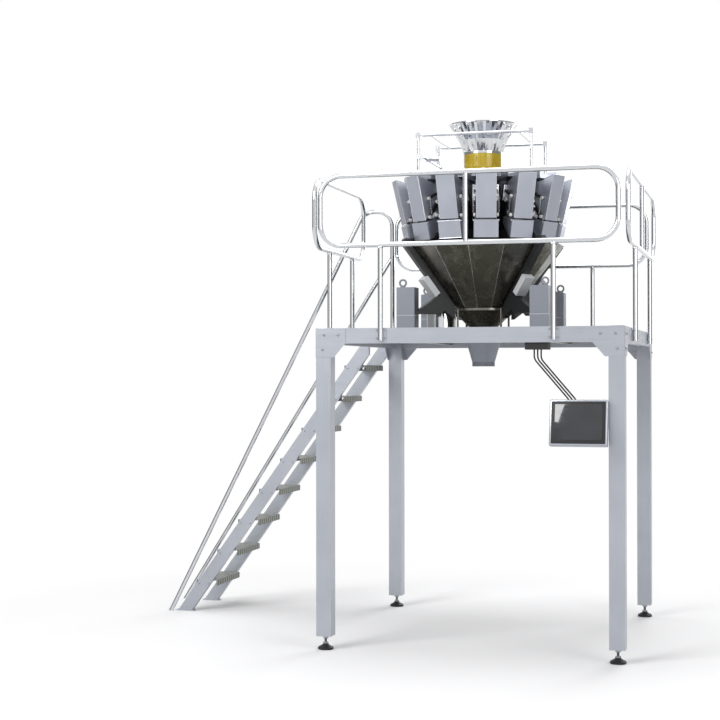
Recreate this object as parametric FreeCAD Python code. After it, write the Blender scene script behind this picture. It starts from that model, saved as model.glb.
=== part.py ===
import FreeCAD, Part
import math
import os

from FreeCAD import Vector

# Fourteen-head weigher on its work platform. Millimetres, +Z up. The origin lies on the
# floor under the vertical axis of the weigher, and -Y is the front of the platform.

# ---- work platform ----
platform_width = 2000.0          # over the posts, along X
platform_depth = 2000.0          # over the posts, along Y
platform_shift = 80.0            # centre of the platform to the right of the weigher's axis
deck_height = 2100.0             # top of the deck above the floor
post_size = 100.0
post_wall = 4.0
beam_height = 100.0
beam_thickness = 50.0
corner_plate_drop = 90.0         # a corner plate's lower edge below the beam
corner_plate_toe = 22.0          # its lower edge past the post
corner_plate_reach = 100.0       # its length along the beam, past the post
corner_plate_thickness = 3.0
deck_thickness = 5.0
deck_hole_radius = 112.0
joist_width = 60.0
joist_height = 70.0
deck_tie_offset = 240.0          # ties beside the drop funnel, from its axis

# ---- levelling feet ----
foot_radius = 52.0
foot_rim_height = 12.0
foot_cone_height = 20.0
foot_neck_radius = 16.0
stem_radius = 9.0
stem_nut_radius = 17.0
stem_nut_height = 14.0
foot_lift = 88.0                 # underside of a post above the floor

# ---- guardrails ----
rail_radius = 16.0
rail_gap = 0.3                   # air between a rail and the pad it is clamped to
rail_weld = 4.0                  # an upright ends this far below the middle of its loop
rail_rise = 990.0                # middle of a loop's top bar above the deck
rail_low_rise = 537.0            # and of its lower bar
rail_bend = 140.0
rail_end_inset = 35.0            # loop ends inside the platform corners
rail_back_drop = 22.0            # the back loop stands lower than the others
front_post_offset = 560.0
right_post_front = -500.0
right_post_back = 610.0
left_rail_end = 250.0            # the left loop stops here, before the stair opening
left_post_front = -620.0
left_post_back = -60.0
pad_size = 75.0
pad_thickness = 4.0

# ---- stair ----
riser_count = 9
tread_going = 168.0
tread_depth = 165.0
tread_plate = 4.0
tread_lip = 42.0
tread_advance = 12.0             # treads stand this far up the slope from the stringers' middle
stringer_depth = 90.0
stringer_thickness = 40.0
stair_near = 330.0               # centre of the stringer nearer the front
stair_far = 870.0
stair_foot_plate = 8.0
handrail_rise = 895.0            # middle of the nearer handrail's hoop above the deck
handrail_crest = 28.0            # upper bend outside the platform
handrail_return = 186.0          # how far over the deck the hoop comes back down
handrail_bend = 118.0
near_handrail_reach = 1560.0     # foot of the nearer handrail outside the platform
far_handrail_reach = 1690.0
far_handrail_rise = 634.0        # upper end of the farther handrail above the deck
far_handrail_inset = 48.0        # how far its upper end passes the platform's edge
handrail_stub_radius = 12.0

# ---- base pillars and support legs ----
pillar_size = 126.0
pillar_height = 294.0
pillar_radius = 586.0            # centre of a pillar from the weigher's axis
pillar_slope_width = 75.0        # slope at the outer edge of the back pillars' tops
pillar_slope_drop = 15.0
eye_outset = 33.0                # the eyes stand outward of the pillars' middles
eye_ring_radius = 22.0
eye_wire_radius = 6.5
eye_collar_radius = 17.0
eye_collar_height = 10.0
leg_width = 46.0
leg_depth = 42.0
leg_air = 12.0                   # between the discharge cone's edges and a leg
strut_rise = 114.0               # underside of the struts from the pillars, above the deck
strut_end = 19.0                 # height of a strut at its pillar
strut_join = 250.0               # its upper edge meets the leg this far above the deck
leg_toe = 29.0                   # lowest corner of a leg below the strut's underside
leg_notch = 29.0                 # the underside rises this far between leg and strut
leg_notch_start = 84.0           # that rise and its end, outward of the leg's toe
leg_notch_end = 116.0
leg_box_width = 86.0
leg_box_length = 150.0
leg_box_depth = 44.0
leg_box_place = 0.42             # along a leg, as a share of its slope

# ---- heads ----
head_count = 14
head_tilt = 13.06                # outward lean of a hopper stack, degrees
face_foot_radius = 544.0         # outer face of a gate at its lower edge
face_foot_drop = 19.0             # that edge below the housing
gate_height = 118.0
gate_width = 164.0
sheet = 3.0
gate_flange = 22.0
gate_seat = 1.0                  # air between a shut gate and its hopper
gate_side_air = 5.0
gate_pin_radius = 3.0
gate_pin_air = 0.5
gate_pin_drop = 6.0              # pin below the upper edge of the gate
gate_pin_inset = 12.0            # pin behind the outer face of the gate
weigh_hopper_height = 120.0
weigh_hopper_back = 80.0         # height where the back wall starts to slope
weigh_hopper_toe = 26.0          # foot of the back wall behind the front walls
hopper_depth = 146.0
feed_hopper_gap = 10.0           # between the weigh hopper and the feed hopper
feed_hopper_top = 438.0          # along the lean of the stack
feed_hopper_back = 356.0         # the back wall is lower, under the pan
feed_hopper_width = 132.0
feed_hopper_inset = 4.0          # outer face of the feed hopper behind the gate's
feed_floor_rise = 60.0
hanger_depth = 14.0
hanger_width = 70.0
hanger_height = 24.0
hanger_drop = 6.0                # upper ledge below the top of its drive unit
hanger_inset = 4.0               # lower ledge inside the upright part of the hopper's back
drive_width = 104.0
drive_depth = 100.0
drive_bottom = 25.0
drive_top = 215.0

# ---- body, feeders and top cone ----
body_rise = 632.0                # underside of the housing above the deck
body_height = 194.0
body_plate = 30.0                # thickness of the plate that the legs carry
leg_plate_radius = 140.0
vibrator_width = 52.0
vibrator_inner = 190.0
vibrator_outer = 290.0
pan_rise = 196.0                 # pans above the housing
pan_height = 56.0
pan_inner = 176.0
pan_lead = 4.0                   # the pans' ends outside the gates' lower edges
pan_inner_width = 68.0
pan_outer_width = 196.0
core_radius = 84.0
top_cone_radius = 172.0
top_cone_rim = 12.0
top_cone_height = 62.0
top_cone_lift = 12.0

# ---- discharge cone, collector and drop funnel ----
chute_top_drop = 35.0            # a chute's upper edge below the housing
chute_rise = 150.0               # its lower edge above the deck
chute_top_lead = 5.0             # middle of its upper edge outside the gates' lower edges
chute_bottom_radius = 196.0
chute_wall = 4.0
collector_rim_radius = 214.0
collector_rim_lip = 6.0          # rim above the chutes' lower edges
collector_seat = 16.0
collector_ledge = 12.0           # ledge that the discharge cone stands on
collector_neck_radius = 100.0
collector_neck_rise = 28.0       # top of the neck above the deck
collector_neck_drop = 45.0       # its lower end below the deck, inside the drop funnel
collector_wall = 4.0
collector_leg_radius = 8.0
collector_leg_count = 4
funnel_rim_radius = 138.0
funnel_flange_radius = 172.0
funnel_flange_thickness = 8.0
outlet_radius = 79.0
outlet_drop = 246.0              # discharge spout's mouth below the top of the deck
spout_length = 30.0

# ---- frame that carries the infeed ----
frame_tube_radius = 10.0
frame_half_width = 392.0
frame_rise = 520.0               # its bars above the housing
frame_carrier_offset = 306.0     # the two bars from front to back, from the axis
frame_stud_offset = 70.0         # studs that hold the funnel, from the axis
frame_clamp = 34.0
frame_arm_height = 16.0
frame_arm_width = 32.0
sensor_drop = 144.0              # sensor below the frame's bars
sensor_radius = 17.0
sensor_length = 95.0

# ---- infeed, placed from the height of the frame's bars ----
infeed_rim_radius = 237.0
infeed_rim_rise = 102.0
infeed_waist_radius = 168.0
infeed_waist_drop = 13.0
infeed_neck_radius = 136.0
infeed_neck_drop = 98.0
infeed_wall = 3.0
collar_height = 104.0
collar_wall = 4.0

# ---- operator screen ----
screen_width = 360.0
screen_height = 290.0
screen_depth = 62.0
screen_lean = 12.0
screen_center_x = 805.0
screen_center_height = 1495.0
screen_advance = 72.0            # its middle in front of the platform
screen_round = 8.0
screen_arm_radius = 17.0
screen_flange_radius = 42.0
screen_flange_thickness = 8.0

# ---- drum and box on the platform ----
drum_radius = 104.0
drum_height = 128.0
drum_x = -316.0                  # centre of the drum
drum_y = 70.0
junction_length = 146.0
junction_depth = 120.0
junction_height = 45.0
junction_place = 527.0           # centre of the junction box along X
junction_overhang = 15.0         # its front behind the front of the beam
cable_radius = 5.0
cable_pitch = 22.0
cable_count = 3
cable_bend = 60.0
cable_drop = 60.0
cable_lead = 40.0                # straight run above the screen's gland
cable_advance = 10.0             # that run starts this far in front of the junction box's middle

# ---- derived places ----
left = platform_shift - platform_width / 2
right = platform_shift + platform_width / 2
front = -platform_depth / 2
back = platform_depth / 2
beam_bottom = deck_height - beam_height
screen_front = screen_advance - front
rail_top = deck_height + rail_rise
rail_bottom = deck_height + rail_low_rise
handrail_top = deck_height + handrail_rise
body_bottom = deck_height + body_rise
body_top = body_bottom + body_height
face_foot_height = body_bottom - face_foot_drop
pan_floor = body_top + pan_rise
pan_outer = face_foot_radius + pan_lead
chute_top = body_bottom - chute_top_drop
chute_top_radius = face_foot_radius + chute_top_lead
chute_bottom = deck_height + chute_rise
collector_rim_height = chute_bottom + collector_rim_lip
collector_neck_height = deck_height + collector_neck_rise
outlet_height = deck_height - outlet_drop
frame_height = body_top + frame_rise
sensor_height = frame_height - sensor_drop
infeed_rim_height = frame_height + infeed_rim_rise
infeed_waist_height = frame_height - infeed_waist_drop
infeed_neck_height = frame_height - infeed_neck_drop
head_step = 360.0 / head_count
frame_half_depth = frame_half_width / math.tan(math.radians(2 * head_step))
first_head = head_step / 2
half_step = math.radians(head_step / 2)
tilt = math.radians(head_tilt)
riser = deck_height / riser_count
slope = math.atan2(riser, tread_going)


def box(x0, x1, y0, y1, z0, z1):
    """Box between two corners."""
    return Part.makeBox(x1 - x0, y1 - y0, z1 - z0, Vector(x0, y0, z0))


def rod(start, end, radius):
    """Round bar from one point to another."""
    axis = end - start
    return Part.makeCylinder(radius, axis.Length, start, axis)


def prism(points, direction):
    """Flat outline pushed along a vector."""
    return Part.Face(Part.makePolygon(points + [points[0]])).extrude(direction)


def fused(shapes):
    """One solid from shapes that meet."""
    first = shapes[0]
    return first.fuse(shapes[1:]).removeSplitter() if len(shapes) > 1 else first


def spun(points):
    """Ring solid: an outline of (radius, height) pairs turned about the weigher's axis."""
    outline = [Vector(r, 0, z) for r, z in points]
    face = Part.Face(Part.makePolygon(outline + [outline[0]]))
    return face.revolve(Vector(0, 0, 0), Vector(0, 0, 1), 360)


def turned(shape, angle):
    """Copy turned about the weigher's axis."""
    copy = shape.copy()
    copy.rotate(Vector(0, 0, 0), Vector(0, 0, 1), angle)
    return copy


def around(shape, count, first):
    """Copies of a shape, evenly spaced round the weigher's axis."""
    return [turned(shape, first + 360.0 / count * i) for i in range(count)]


def bent_tube(points, bend, radius):
    """Tube along straight runs joined by tangent arcs of one bend radius."""
    edges = []
    last = points[0]
    for before, corner, after in zip(points, points[1:], points[2:]):
        back_way = (before - corner).normalize()
        on_way = (after - corner).normalize()
        half = back_way.getAngle(on_way) / 2
        reach = bend / math.tan(half)
        middle = (back_way + on_way).normalize()
        center = corner + middle * (bend / math.sin(half))
        start = corner + back_way * reach
        end = corner + on_way * reach
        edges.append(Part.makeLine(last, start))
        edges.append(Part.Arc(start, center - middle * bend, end).toShape())
        last = end
    edges.append(Part.makeLine(last, points[-1]))
    path = Part.Wire(edges)
    ring = Part.Wire(Part.makeCircle(radius, points[0], points[1] - points[0]))
    return path.makePipeShell([ring], True, False)


def lofted(sections):
    """Solid through flat outlines, with straight sides."""
    wires = [Part.makePolygon(points + [points[0]]) for points in sections]
    return Part.makeLoft(wires, True, True)


def polygon(radius, height, count, first):
    """Corners of a level polygon whose sides lie at a radius, one side per head."""
    corner = radius / math.cos(math.pi / count)
    angles = [math.radians(first + 360.0 / count * (i + 0.5)) for i in range(count)]
    return [Vector(corner * math.sin(a), -corner * math.cos(a), height) for a in angles]


# ---- platform ----
def corner_places():
    """Centres of the four posts."""
    half = post_size / 2
    return [(x, y) for x in (left + half, right - half) for y in (front + half, back - half)]


def post(x, y):
    """Square tube from its foot to the deck, shut at both ends."""
    half = post_size / 2
    outer = box(x - half, x + half, y - half, y + half, foot_lift, deck_height)
    half -= post_wall
    inner = box(x - half, x + half, y - half, y + half,
                foot_lift + post_wall, deck_height - post_wall)
    return outer.cut(inner)


def levelling_foot(x, y):
    """Round foot that spreads to the floor, with its threaded stem and lock nut."""
    rim = Part.makeCylinder(foot_radius, foot_rim_height, Vector(x, y, 0))
    cone = Part.makeCone(foot_radius * 0.86, foot_neck_radius, foot_cone_height,
                         Vector(x, y, foot_rim_height))
    base = foot_rim_height + foot_cone_height
    stem = Part.makeCylinder(stem_radius, foot_lift - base, Vector(x, y, base))
    nut_base = foot_lift - stem_nut_height
    corners = [Vector(x + stem_nut_radius * math.cos(math.radians(60 * i)),
                      y + stem_nut_radius * math.sin(math.radians(60 * i)), nut_base)
               for i in range(6)]
    return fused([rim, cone, stem, prism(corners, Vector(0, 0, stem_nut_height))])


def corner_plate_outline(sign):
    """Outline of a plate over a post's head and a beam's end, as (along, height) pairs."""
    foot = beam_bottom - corner_plate_drop
    return [(-sign * post_size, deck_height), (-sign * post_size, foot),
            (sign * corner_plate_toe, foot), (sign * corner_plate_reach, beam_bottom),
            (sign * corner_plate_reach, deck_height)]


def pad(along, place, out, along_x):
    """Square pad on a beam's outer face, where a guardrail's upright is clamped."""
    half = pad_size / 2
    z0 = deck_height - beam_height / 2 - half
    near, far = sorted((place, place + out * pad_thickness))
    if along_x:
        return box(along - half, along + half, near, far, z0, z0 + pad_size)
    return box(near, far, along - half, along + half, z0, z0 + pad_size)


def edge_beam(start, end, place, out, pads, along_x):
    """Edge beam between two posts, with its two corner plates and its rail pads."""
    near, far = sorted((place, place - out * beam_thickness))
    skin = out * corner_plate_thickness

    def at(u, z):
        return Vector(u, place, z) if along_x else Vector(place, u, z)

    push = Vector(0, skin, 0) if along_x else Vector(skin, 0, 0)
    if along_x:
        pieces = [box(start, end, near, far, beam_bottom, deck_height)]
    else:
        pieces = [box(near, far, start, end, beam_bottom, deck_height)]
    for corner, sign in ((start, 1), (end, -1)):
        pieces.append(prism([at(corner + u, z) for u, z in corner_plate_outline(sign)], push))
    pieces += [pad(u, place, out, along_x) for u in pads]
    return fused(pieces)


def deck_beams():
    """Four edge beams between the posts."""
    x0, x1 = left + post_size, right - post_size
    y0, y1 = front + post_size, back - post_size
    pair = [platform_shift - front_post_offset, platform_shift + front_post_offset]
    return [
        edge_beam(x0, x1, front, -1, pair, True),
        edge_beam(x0, x1, back, 1, pair, True),
        edge_beam(y0, y1, left, -1, [left_post_front, left_post_back], False),
        edge_beam(y0, y1, right, 1, [right_post_front, right_post_back], False),
    ]


def deck():
    """Deck plate with the discharge hole, on two joists under the pillars and two ties."""
    top = deck_height - deck_thickness
    low = top - joist_height
    half = joist_width / 2
    x0, x1 = left + beam_thickness, right - beam_thickness
    y0, y1 = front + beam_thickness, back - beam_thickness
    plate = box(x0, x1, y0, y1, top, deck_height)
    reach = pillar_radius * math.sin(4 * half_step)
    rows = [box(x - half, x + half, y0, y1, low, top) for x in (-reach, reach)]
    ties = [box(-reach, reach, y - half, y + half, low, top)
            for y in (-deck_tie_offset, deck_tie_offset)]
    notches = [box(x - post_size / 2, x + post_size / 2, y - post_size / 2, y + post_size / 2,
                   low, deck_height) for x, y in corner_places()]
    hole = Part.makeCylinder(deck_hole_radius, deck_height - low, Vector(0, 0, low))
    return fused([plate] + rows + ties).cut(notches + [hole])


# ---- guardrails ----
def rail_line(side):
    """Distance from a beam's face to a rail's centre, added to the face's place."""
    return side * (pad_thickness + rail_gap + rail_radius)


def rail_loop(start, end, place, top, bottom, along_x):
    """Closed loop of tube with round corners in an upright plane."""
    middle = (start + end) / 2

    def at(u, z):
        return Vector(u, place, z) if along_x else Vector(place, u, z)

    upper = [at(middle, bottom), at(start, bottom), at(start, top), at(middle, top)]
    lower = [at(middle, top), at(end, top), at(end, bottom), at(middle, bottom)]
    return [bent_tube(upper, rail_bend, rail_radius), bent_tube(lower, rail_bend, rail_radius)]


def guardrail(start, end, place, top, bottom, uprights, mid_bar, along_x):
    """A loop with its uprights, which run down over the beam, and an optional middle bar."""
    parts = rail_loop(start, end, place, top, bottom, along_x)

    def at(u, z):
        return Vector(u, place, z) if along_x else Vector(place, u, z)

    low = beam_bottom + rail_radius
    for u in uprights:
        parts.append(rod(at(u, low), at(u, bottom - rail_weld), rail_radius))
    if mid_bar is not None:
        parts.append(rod(at(mid_bar, bottom), at(mid_bar, top), rail_radius))
    return fused(parts)


def guardrails():
    """The four guardrails by name."""
    x0, x1 = left + rail_end_inset, right - rail_end_inset
    y0, y1 = front + rail_end_inset, back - rail_end_inset
    center = platform_shift
    pair = [center - front_post_offset, center + front_post_offset]
    return {
        "front_guardrail": guardrail(x0, x1, front + rail_line(-1), rail_top, rail_bottom,
                                     pair, center, True),
        "back_guardrail": guardrail(x0, x1, back + rail_line(1), rail_top - rail_back_drop,
                                    rail_bottom - rail_back_drop, pair, None, True),
        "right_guardrail": guardrail(y0, y1, right + rail_line(1), rail_top, rail_bottom,
                                     [right_post_front, right_post_back], 0.0, False),
        "left_guardrail": guardrail(y0, left_rail_end, left + rail_line(-1), rail_top,
                                    rail_bottom, [left_post_front, left_post_back],
                                    None, False),
    }


# ---- stair ----
def stair_x(height):
    """Place of the stringers' middle line at a height."""
    top_middle = deck_height - stringer_depth / math.cos(slope) / 2
    return left - (top_middle - height) / math.tan(slope)


def stringer(y, end):
    """Sloping side beam, cut level at the floor and upright where it meets the platform."""
    drop = stringer_depth / math.cos(slope)
    reach = deck_height / math.tan(slope) + drop
    half = stringer_thickness / 2
    upper = deck_height + (end - left) * math.tan(slope)
    outline = [Vector(end, y - half, upper), Vector(end, y - half, upper - drop),
               Vector(left - reach, y - half, deck_height - drop - reach * math.tan(slope)),
               Vector(left - reach, y - half, deck_height - reach * math.tan(slope))]
    beam = prism(outline, Vector(0, stringer_thickness, 0))
    floor = box(left - 2 * reach, left + drop, y - stringer_thickness, y + stringer_thickness,
                -2 * reach, stair_foot_plate)
    foot = stair_x(stair_foot_plate)
    half_plate = stringer_depth / math.sin(slope) / 2 + stair_foot_plate * 2
    plate = box(foot - half_plate, foot + half_plate, y - half, y + half, 0, stair_foot_plate)
    return fused([beam.cut(floor), plate])


def treads():
    """Folded plates between the stringers."""
    y0 = stair_near + stringer_thickness / 2
    y1 = stair_far - stringer_thickness / 2
    result = []
    for step in range(1, riser_count):
        top = riser * step
        middle = stair_x(top - tread_lip / 2) + tread_advance
        x0, x1 = middle - tread_depth / 2, middle + tread_depth / 2
        low = top - tread_lip
        result.append(fused([
            box(x0, x1, y0, y1, top - tread_plate, top),
            box(x0, x0 + tread_plate, y0, y1, low, top),
            box(x1 - tread_plate, x1, y0, y1, low, top),
        ]))
    return result


def sloped_rail(y, foot_x, upper):
    """Tube from the floor through the given upper points, cut level at the floor."""
    foot = Vector(foot_x, y, 0)
    below = foot + (foot - upper[0]).normalize() * 2 * rail_radius
    if len(upper) > 1:
        rail = bent_tube([below] + upper, handrail_bend, rail_radius)
    else:
        rail = rod(below, upper[0], rail_radius)
    reach = 4 * rail_radius
    return rail.cut(box(foot_x - reach, foot_x + reach, y - reach, y + reach, -reach, 0))


def handrails():
    """A hooped handrail by the nearer stringer, and one that ends at the back guardrail."""
    aside = stringer_thickness / 2 + rail_gap + rail_radius
    y = stair_near - aside
    end_x = left + handrail_return
    near = sloped_rail(y, left - near_handrail_reach,
                       [Vector(left - handrail_crest, y, handrail_top),
                        Vector(end_x, y, handrail_top), Vector(end_x, y, deck_height)])
    y = stair_far + aside
    end = Vector(left + far_handrail_inset, y, deck_height + far_handrail_rise)
    far = sloped_rail(y, left - far_handrail_reach, [end])
    down = (end - Vector(left - far_handrail_reach, y, 0)).normalize() * rail_radius
    loop_face = back + rail_line(1) - rail_radius
    stub = rod(end - down, Vector(end.x, loop_face - rail_gap, end.z) - down,
               handrail_stub_radius)
    return [near, fused([far, stub])]


# ---- base pillars, legs, eyes ----
leg_angles = [2 * head_step, 5 * head_step, 9 * head_step, 12 * head_step]


def leg_direction(angle):
    """Level unit vector outward at an angle from the front."""
    a = math.radians(angle)
    return Vector(math.sin(a), -math.cos(a), 0)


def pillar_side(angle):
    """Which side of the axis a pillar stands on, as -1 or 1."""
    return 1 if leg_direction(angle).x > 0 else -1


def pillar_drop(angle):
    """How far a pillar's top slopes down outward; the two front ones are level."""
    return pillar_slope_drop if leg_direction(angle).y > 0 else 0.0


def pillar(angle):
    """Box pillar without its eye; the tops of the two back ones slope down outward."""
    center = leg_direction(angle) * pillar_radius
    half = pillar_size / 2
    top = deck_height + pillar_height
    body = box(center.x - half, center.x + half, center.y - half, center.y + half,
               deck_height, top)
    drop = pillar_drop(angle)
    if drop == 0.0:
        return body
    side = pillar_side(angle)
    edge = center.x + side * half
    y = center.y - half
    wedge = prism([Vector(edge, y, top), Vector(edge - side * pillar_slope_width, y, top),
                   Vector(edge, y, top - drop)], Vector(0, pillar_size, 0))
    return body.cut(wedge)


def lifting_eye(angle):
    """Ring on a collar on top of a pillar, towards its outer edge."""
    center = leg_direction(angle) * pillar_radius
    base = Vector(center.x + pillar_side(angle) * eye_outset, center.y,
                  deck_height + pillar_height - pillar_drop(angle))
    collar = Part.makeCylinder(eye_collar_radius, eye_collar_height, base)
    ring = Part.makeTorus(eye_ring_radius, eye_wire_radius,
                          base + Vector(0, 0, eye_collar_height + eye_ring_radius),
                          Vector(0, 1, 0))
    return fused([collar, ring])


def chute_edge(height):
    """Radius of the discharge cone's edges at a height."""
    share = (height - chute_bottom) / (chute_top - chute_bottom)
    side = chute_bottom_radius + (chute_top_radius - chute_bottom_radius) * share
    return side / math.cos(half_step)


def support_leg(angle):
    """Leg with its strut from a pillar, up along the cone and in over its rim to the body."""
    strut_low = deck_height + strut_rise
    strut_top = deck_height + strut_join
    bridge_low = body_bottom - body_plate
    inner_low = chute_edge(strut_low) + leg_air
    inner_top = chute_edge(bridge_low) + leg_air
    beside_rim = collector_rim_radius + collector_leg_radius + leg_air
    over_rim = strut_low + (bridge_low - strut_low) * ((beside_rim - inner_low)
                                                       / (inner_top - inner_low))
    run = leg_depth / math.cos(math.atan2(inner_top - inner_low, bridge_low - strut_low))
    outline = [
        (beside_rim, over_rim), (beside_rim, strut_low - leg_toe),
        (beside_rim + leg_notch_start, strut_low + leg_notch),
        (beside_rim + leg_notch_end, strut_low), (pillar_radius, strut_low),
        (pillar_radius, strut_low + strut_end),
        (pillar_radius - pillar_size / 2, strut_low + strut_end),
        (chute_edge(strut_top) + leg_air + run, strut_top),
        (inner_top + run, bridge_low), (inner_top + run * 0.6, body_bottom),
        (0, body_bottom), (0, bridge_low), (inner_top, bridge_low),
    ]
    half = leg_width / 2
    points = [Vector(-half, -r, z) for r, z in outline]
    leg = turned(prism(points, Vector(leg_width, 0, 0)), angle)
    return leg.cut(pillar(angle))


def support_legs():
    """The four legs with the round plate that they meet in under the housing."""
    plate = Part.makeCylinder(leg_plate_radius, body_plate,
                              Vector(0, 0, body_bottom - body_plate))
    return fused([plate] + [support_leg(a) for a in leg_angles])


def leg_box(angle):
    """Pale box clamped on the outer edge of a leg."""
    low = deck_height + strut_rise
    high = body_bottom - body_plate
    lean = math.degrees(math.atan2(chute_edge(high) - chute_edge(low), high - low))
    middle = low + (high - low) * leg_box_place
    run = leg_depth / math.cos(math.radians(lean))
    out = chute_edge(middle) + leg_air + run
    shape = box(-leg_box_width / 2, leg_box_width / 2, -leg_box_depth, 0,
                -leg_box_length / 2, leg_box_length / 2)
    shape.rotate(Vector(0, 0, 0), Vector(1, 0, 0), lean)
    shape.translate(Vector(0, -out, middle))
    return turned(shape, angle)


# ---- body and heads ----
def body_apothem(height):
    """Distance of the body's flat sides from the axis; they lean like the hoppers."""
    inset = (hopper_depth + hanger_depth + drive_depth) / math.cos(tilt)
    return face_foot_radius - inset + (height - face_foot_height) * math.tan(tilt)


def body_housing():
    """Closed many-sided housing that carries the drives."""
    return lofted([polygon(body_apothem(z), z, head_count, first_head)
                   for z in (body_bottom, body_top)])


def leaned(shape):
    """Move a piece from the stack's own frame to the front head, leaning outward.

    In the stack's frame x runs across the head, y inward from the gate's outer face and
    z up from the gate's lower edge.
    """
    copy = shape.copy()
    copy.rotate(Vector(0, 0, 0), Vector(1, 0, 0), head_tilt)
    copy.translate(Vector(0, -face_foot_radius, face_foot_height))
    return copy


def stack_prism(outline, width):
    """Outline of (depth, height) pairs in the stack's frame, centred across the head."""
    points = [Vector(-width / 2, y, z) for y, z in outline]
    return prism(points, Vector(width, 0, 0))


def drive_unit():
    """Actuator box with the two ledges that the hoppers hang on."""
    face = hopper_depth + hanger_depth
    housing = box(-drive_width / 2, drive_width / 2, face, face + drive_depth,
                  drive_bottom, drive_top)
    low_ledge = box(-hanger_width / 2, hanger_width / 2, hopper_depth, face,
                    weigh_hopper_back + hanger_inset, weigh_hopper_height - hanger_inset)
    high_ledge = box(-hanger_width / 2, hanger_width / 2, hopper_depth, face,
                     drive_top - hanger_drop - hanger_height, drive_top - hanger_drop)
    return leaned(fused([housing, low_ledge, high_ledge]))


def gate_pin_place():
    """Depth and height of the gate's pin in the stack's frame."""
    return gate_pin_inset, gate_height - gate_pin_drop


def weigh_hopper():
    """Bucket open at the top and towards its gate, with a sloping back."""
    pin_y, pin_z = gate_pin_place()
    width = gate_width - 2 * (sheet + gate_side_air)
    face = sheet + gate_seat
    nose = pin_y - face
    outer = [(face, 0), (face, pin_z), (pin_y, pin_z + nose), (pin_y, weigh_hopper_height),
             (hopper_depth, weigh_hopper_height), (hopper_depth, weigh_hopper_back),
             (face + weigh_hopper_toe, 0)]
    lean = math.atan2(weigh_hopper_back, hopper_depth - face - weigh_hopper_toe)
    inset = sheet / math.sin(lean)
    inner = [(0, -sheet), (0, weigh_hopper_height * 2),
             (hopper_depth - sheet, weigh_hopper_height * 2),
             (hopper_depth - sheet, weigh_hopper_back + (inset - sheet) * math.tan(lean)),
             (face + weigh_hopper_toe - inset - sheet / math.tan(lean), -sheet)]
    bucket = stack_prism(outer, width).cut(stack_prism(inner, width - 2 * sheet))
    hole = rod(Vector(-width, pin_y, pin_z), Vector(width, pin_y, pin_z),
               gate_pin_radius + gate_pin_air)
    return leaned(bucket.cut(hole))


def feed_hopper():
    """Tall bucket open at the top, its bottom shut by its own sloping flap."""
    low = weigh_hopper_height + feed_hopper_gap
    face = feed_hopper_inset
    outer = [(face, low), (face, feed_hopper_top), (hopper_depth, feed_hopper_back),
             (hopper_depth, low + feed_floor_rise)]
    inner = [(face + sheet, low + sheet * 1.4), (face + sheet, feed_hopper_top * 2),
             (hopper_depth - sheet, feed_hopper_top * 2),
             (hopper_depth - sheet, low + feed_floor_rise + sheet)]
    bucket = stack_prism(outer, feed_hopper_width)
    return leaned(bucket.cut(stack_prism(inner, feed_hopper_width - 2 * sheet)))


def gate():
    """Flanged flap that shuts a weigh hopper, with its pin."""
    pin_y, pin_z = gate_pin_place()
    half = gate_width / 2
    plate = box(-half, half, 0, sheet, 0, gate_height)
    cheek = [(0, 0), (0, gate_height), (gate_flange, gate_height),
             (gate_flange, pin_z - gate_flange), (sheet * 3, 0)]
    side = stack_prism(cheek, sheet)
    cheeks = []
    for place in (-half + sheet / 2, half - sheet / 2):
        copy = side.copy()
        copy.translate(Vector(place, 0, 0))
        cheeks.append(copy)
    pin = rod(Vector(-half, pin_y, pin_z), Vector(half, pin_y, pin_z), gate_pin_radius)
    return leaned(fused([plate, pin] + cheeks))


def feeder_pan():
    """Radial trough from the top cone out over a feed hopper."""
    def outline(shrink, z):
        inner, outer = pan_inner_width / 2 - shrink, pan_outer_width / 2 - shrink
        return [Vector(-inner, -pan_inner, z), Vector(-outer, -pan_outer, z),
                Vector(outer, -pan_outer, z), Vector(inner, -pan_inner, z)]

    outside = prism(outline(0, pan_floor), Vector(0, 0, pan_height))
    inside = prism(outline(sheet, pan_floor + sheet), Vector(0, 0, pan_height))
    mouth = box(-pan_outer_width, pan_outer_width, -2 * pan_outer, -pan_outer + sheet,
                pan_floor - sheet, pan_floor + 2 * pan_height)
    tail = box(-pan_inner_width, pan_inner_width, -pan_inner - sheet, 0,
               pan_floor + sheet, pan_floor + 2 * pan_height)
    return outside.cut(inside).cut(mouth).cut(tail)


def feeder_drive():
    """Vibrator that stands on the housing and carries a pan."""
    half = vibrator_width / 2
    return box(-half, half, -vibrator_outer, -vibrator_inner, body_top, pan_floor)


def top_cone():
    """Low cone that spreads the product to the pans, on its own round vibrator."""
    base = pan_floor + pan_height + top_cone_lift
    core = Part.makeCylinder(core_radius, base - body_top, Vector(0, 0, body_top))
    rim = Part.makeCylinder(top_cone_radius, top_cone_rim, Vector(0, 0, base))
    cone = Part.makeCone(top_cone_radius, sheet * 2, top_cone_height - top_cone_rim,
                         Vector(0, 0, base + top_cone_rim))
    return fused([core, rim, cone])


# ---- discharge ----
def discharge_cone():
    """Fourteen flat chutes that meet in a many-sided cone."""
    outer = lofted([polygon(r, z, head_count, first_head) for r, z in
                    ((chute_bottom_radius, chute_bottom), (chute_top_radius, chute_top))])
    inner = lofted([polygon(r - chute_wall, z, head_count, first_head) for r, z in
                    ((chute_bottom_radius, chute_bottom), (chute_top_radius, chute_top))])
    return outer.cut(inner)


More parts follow.
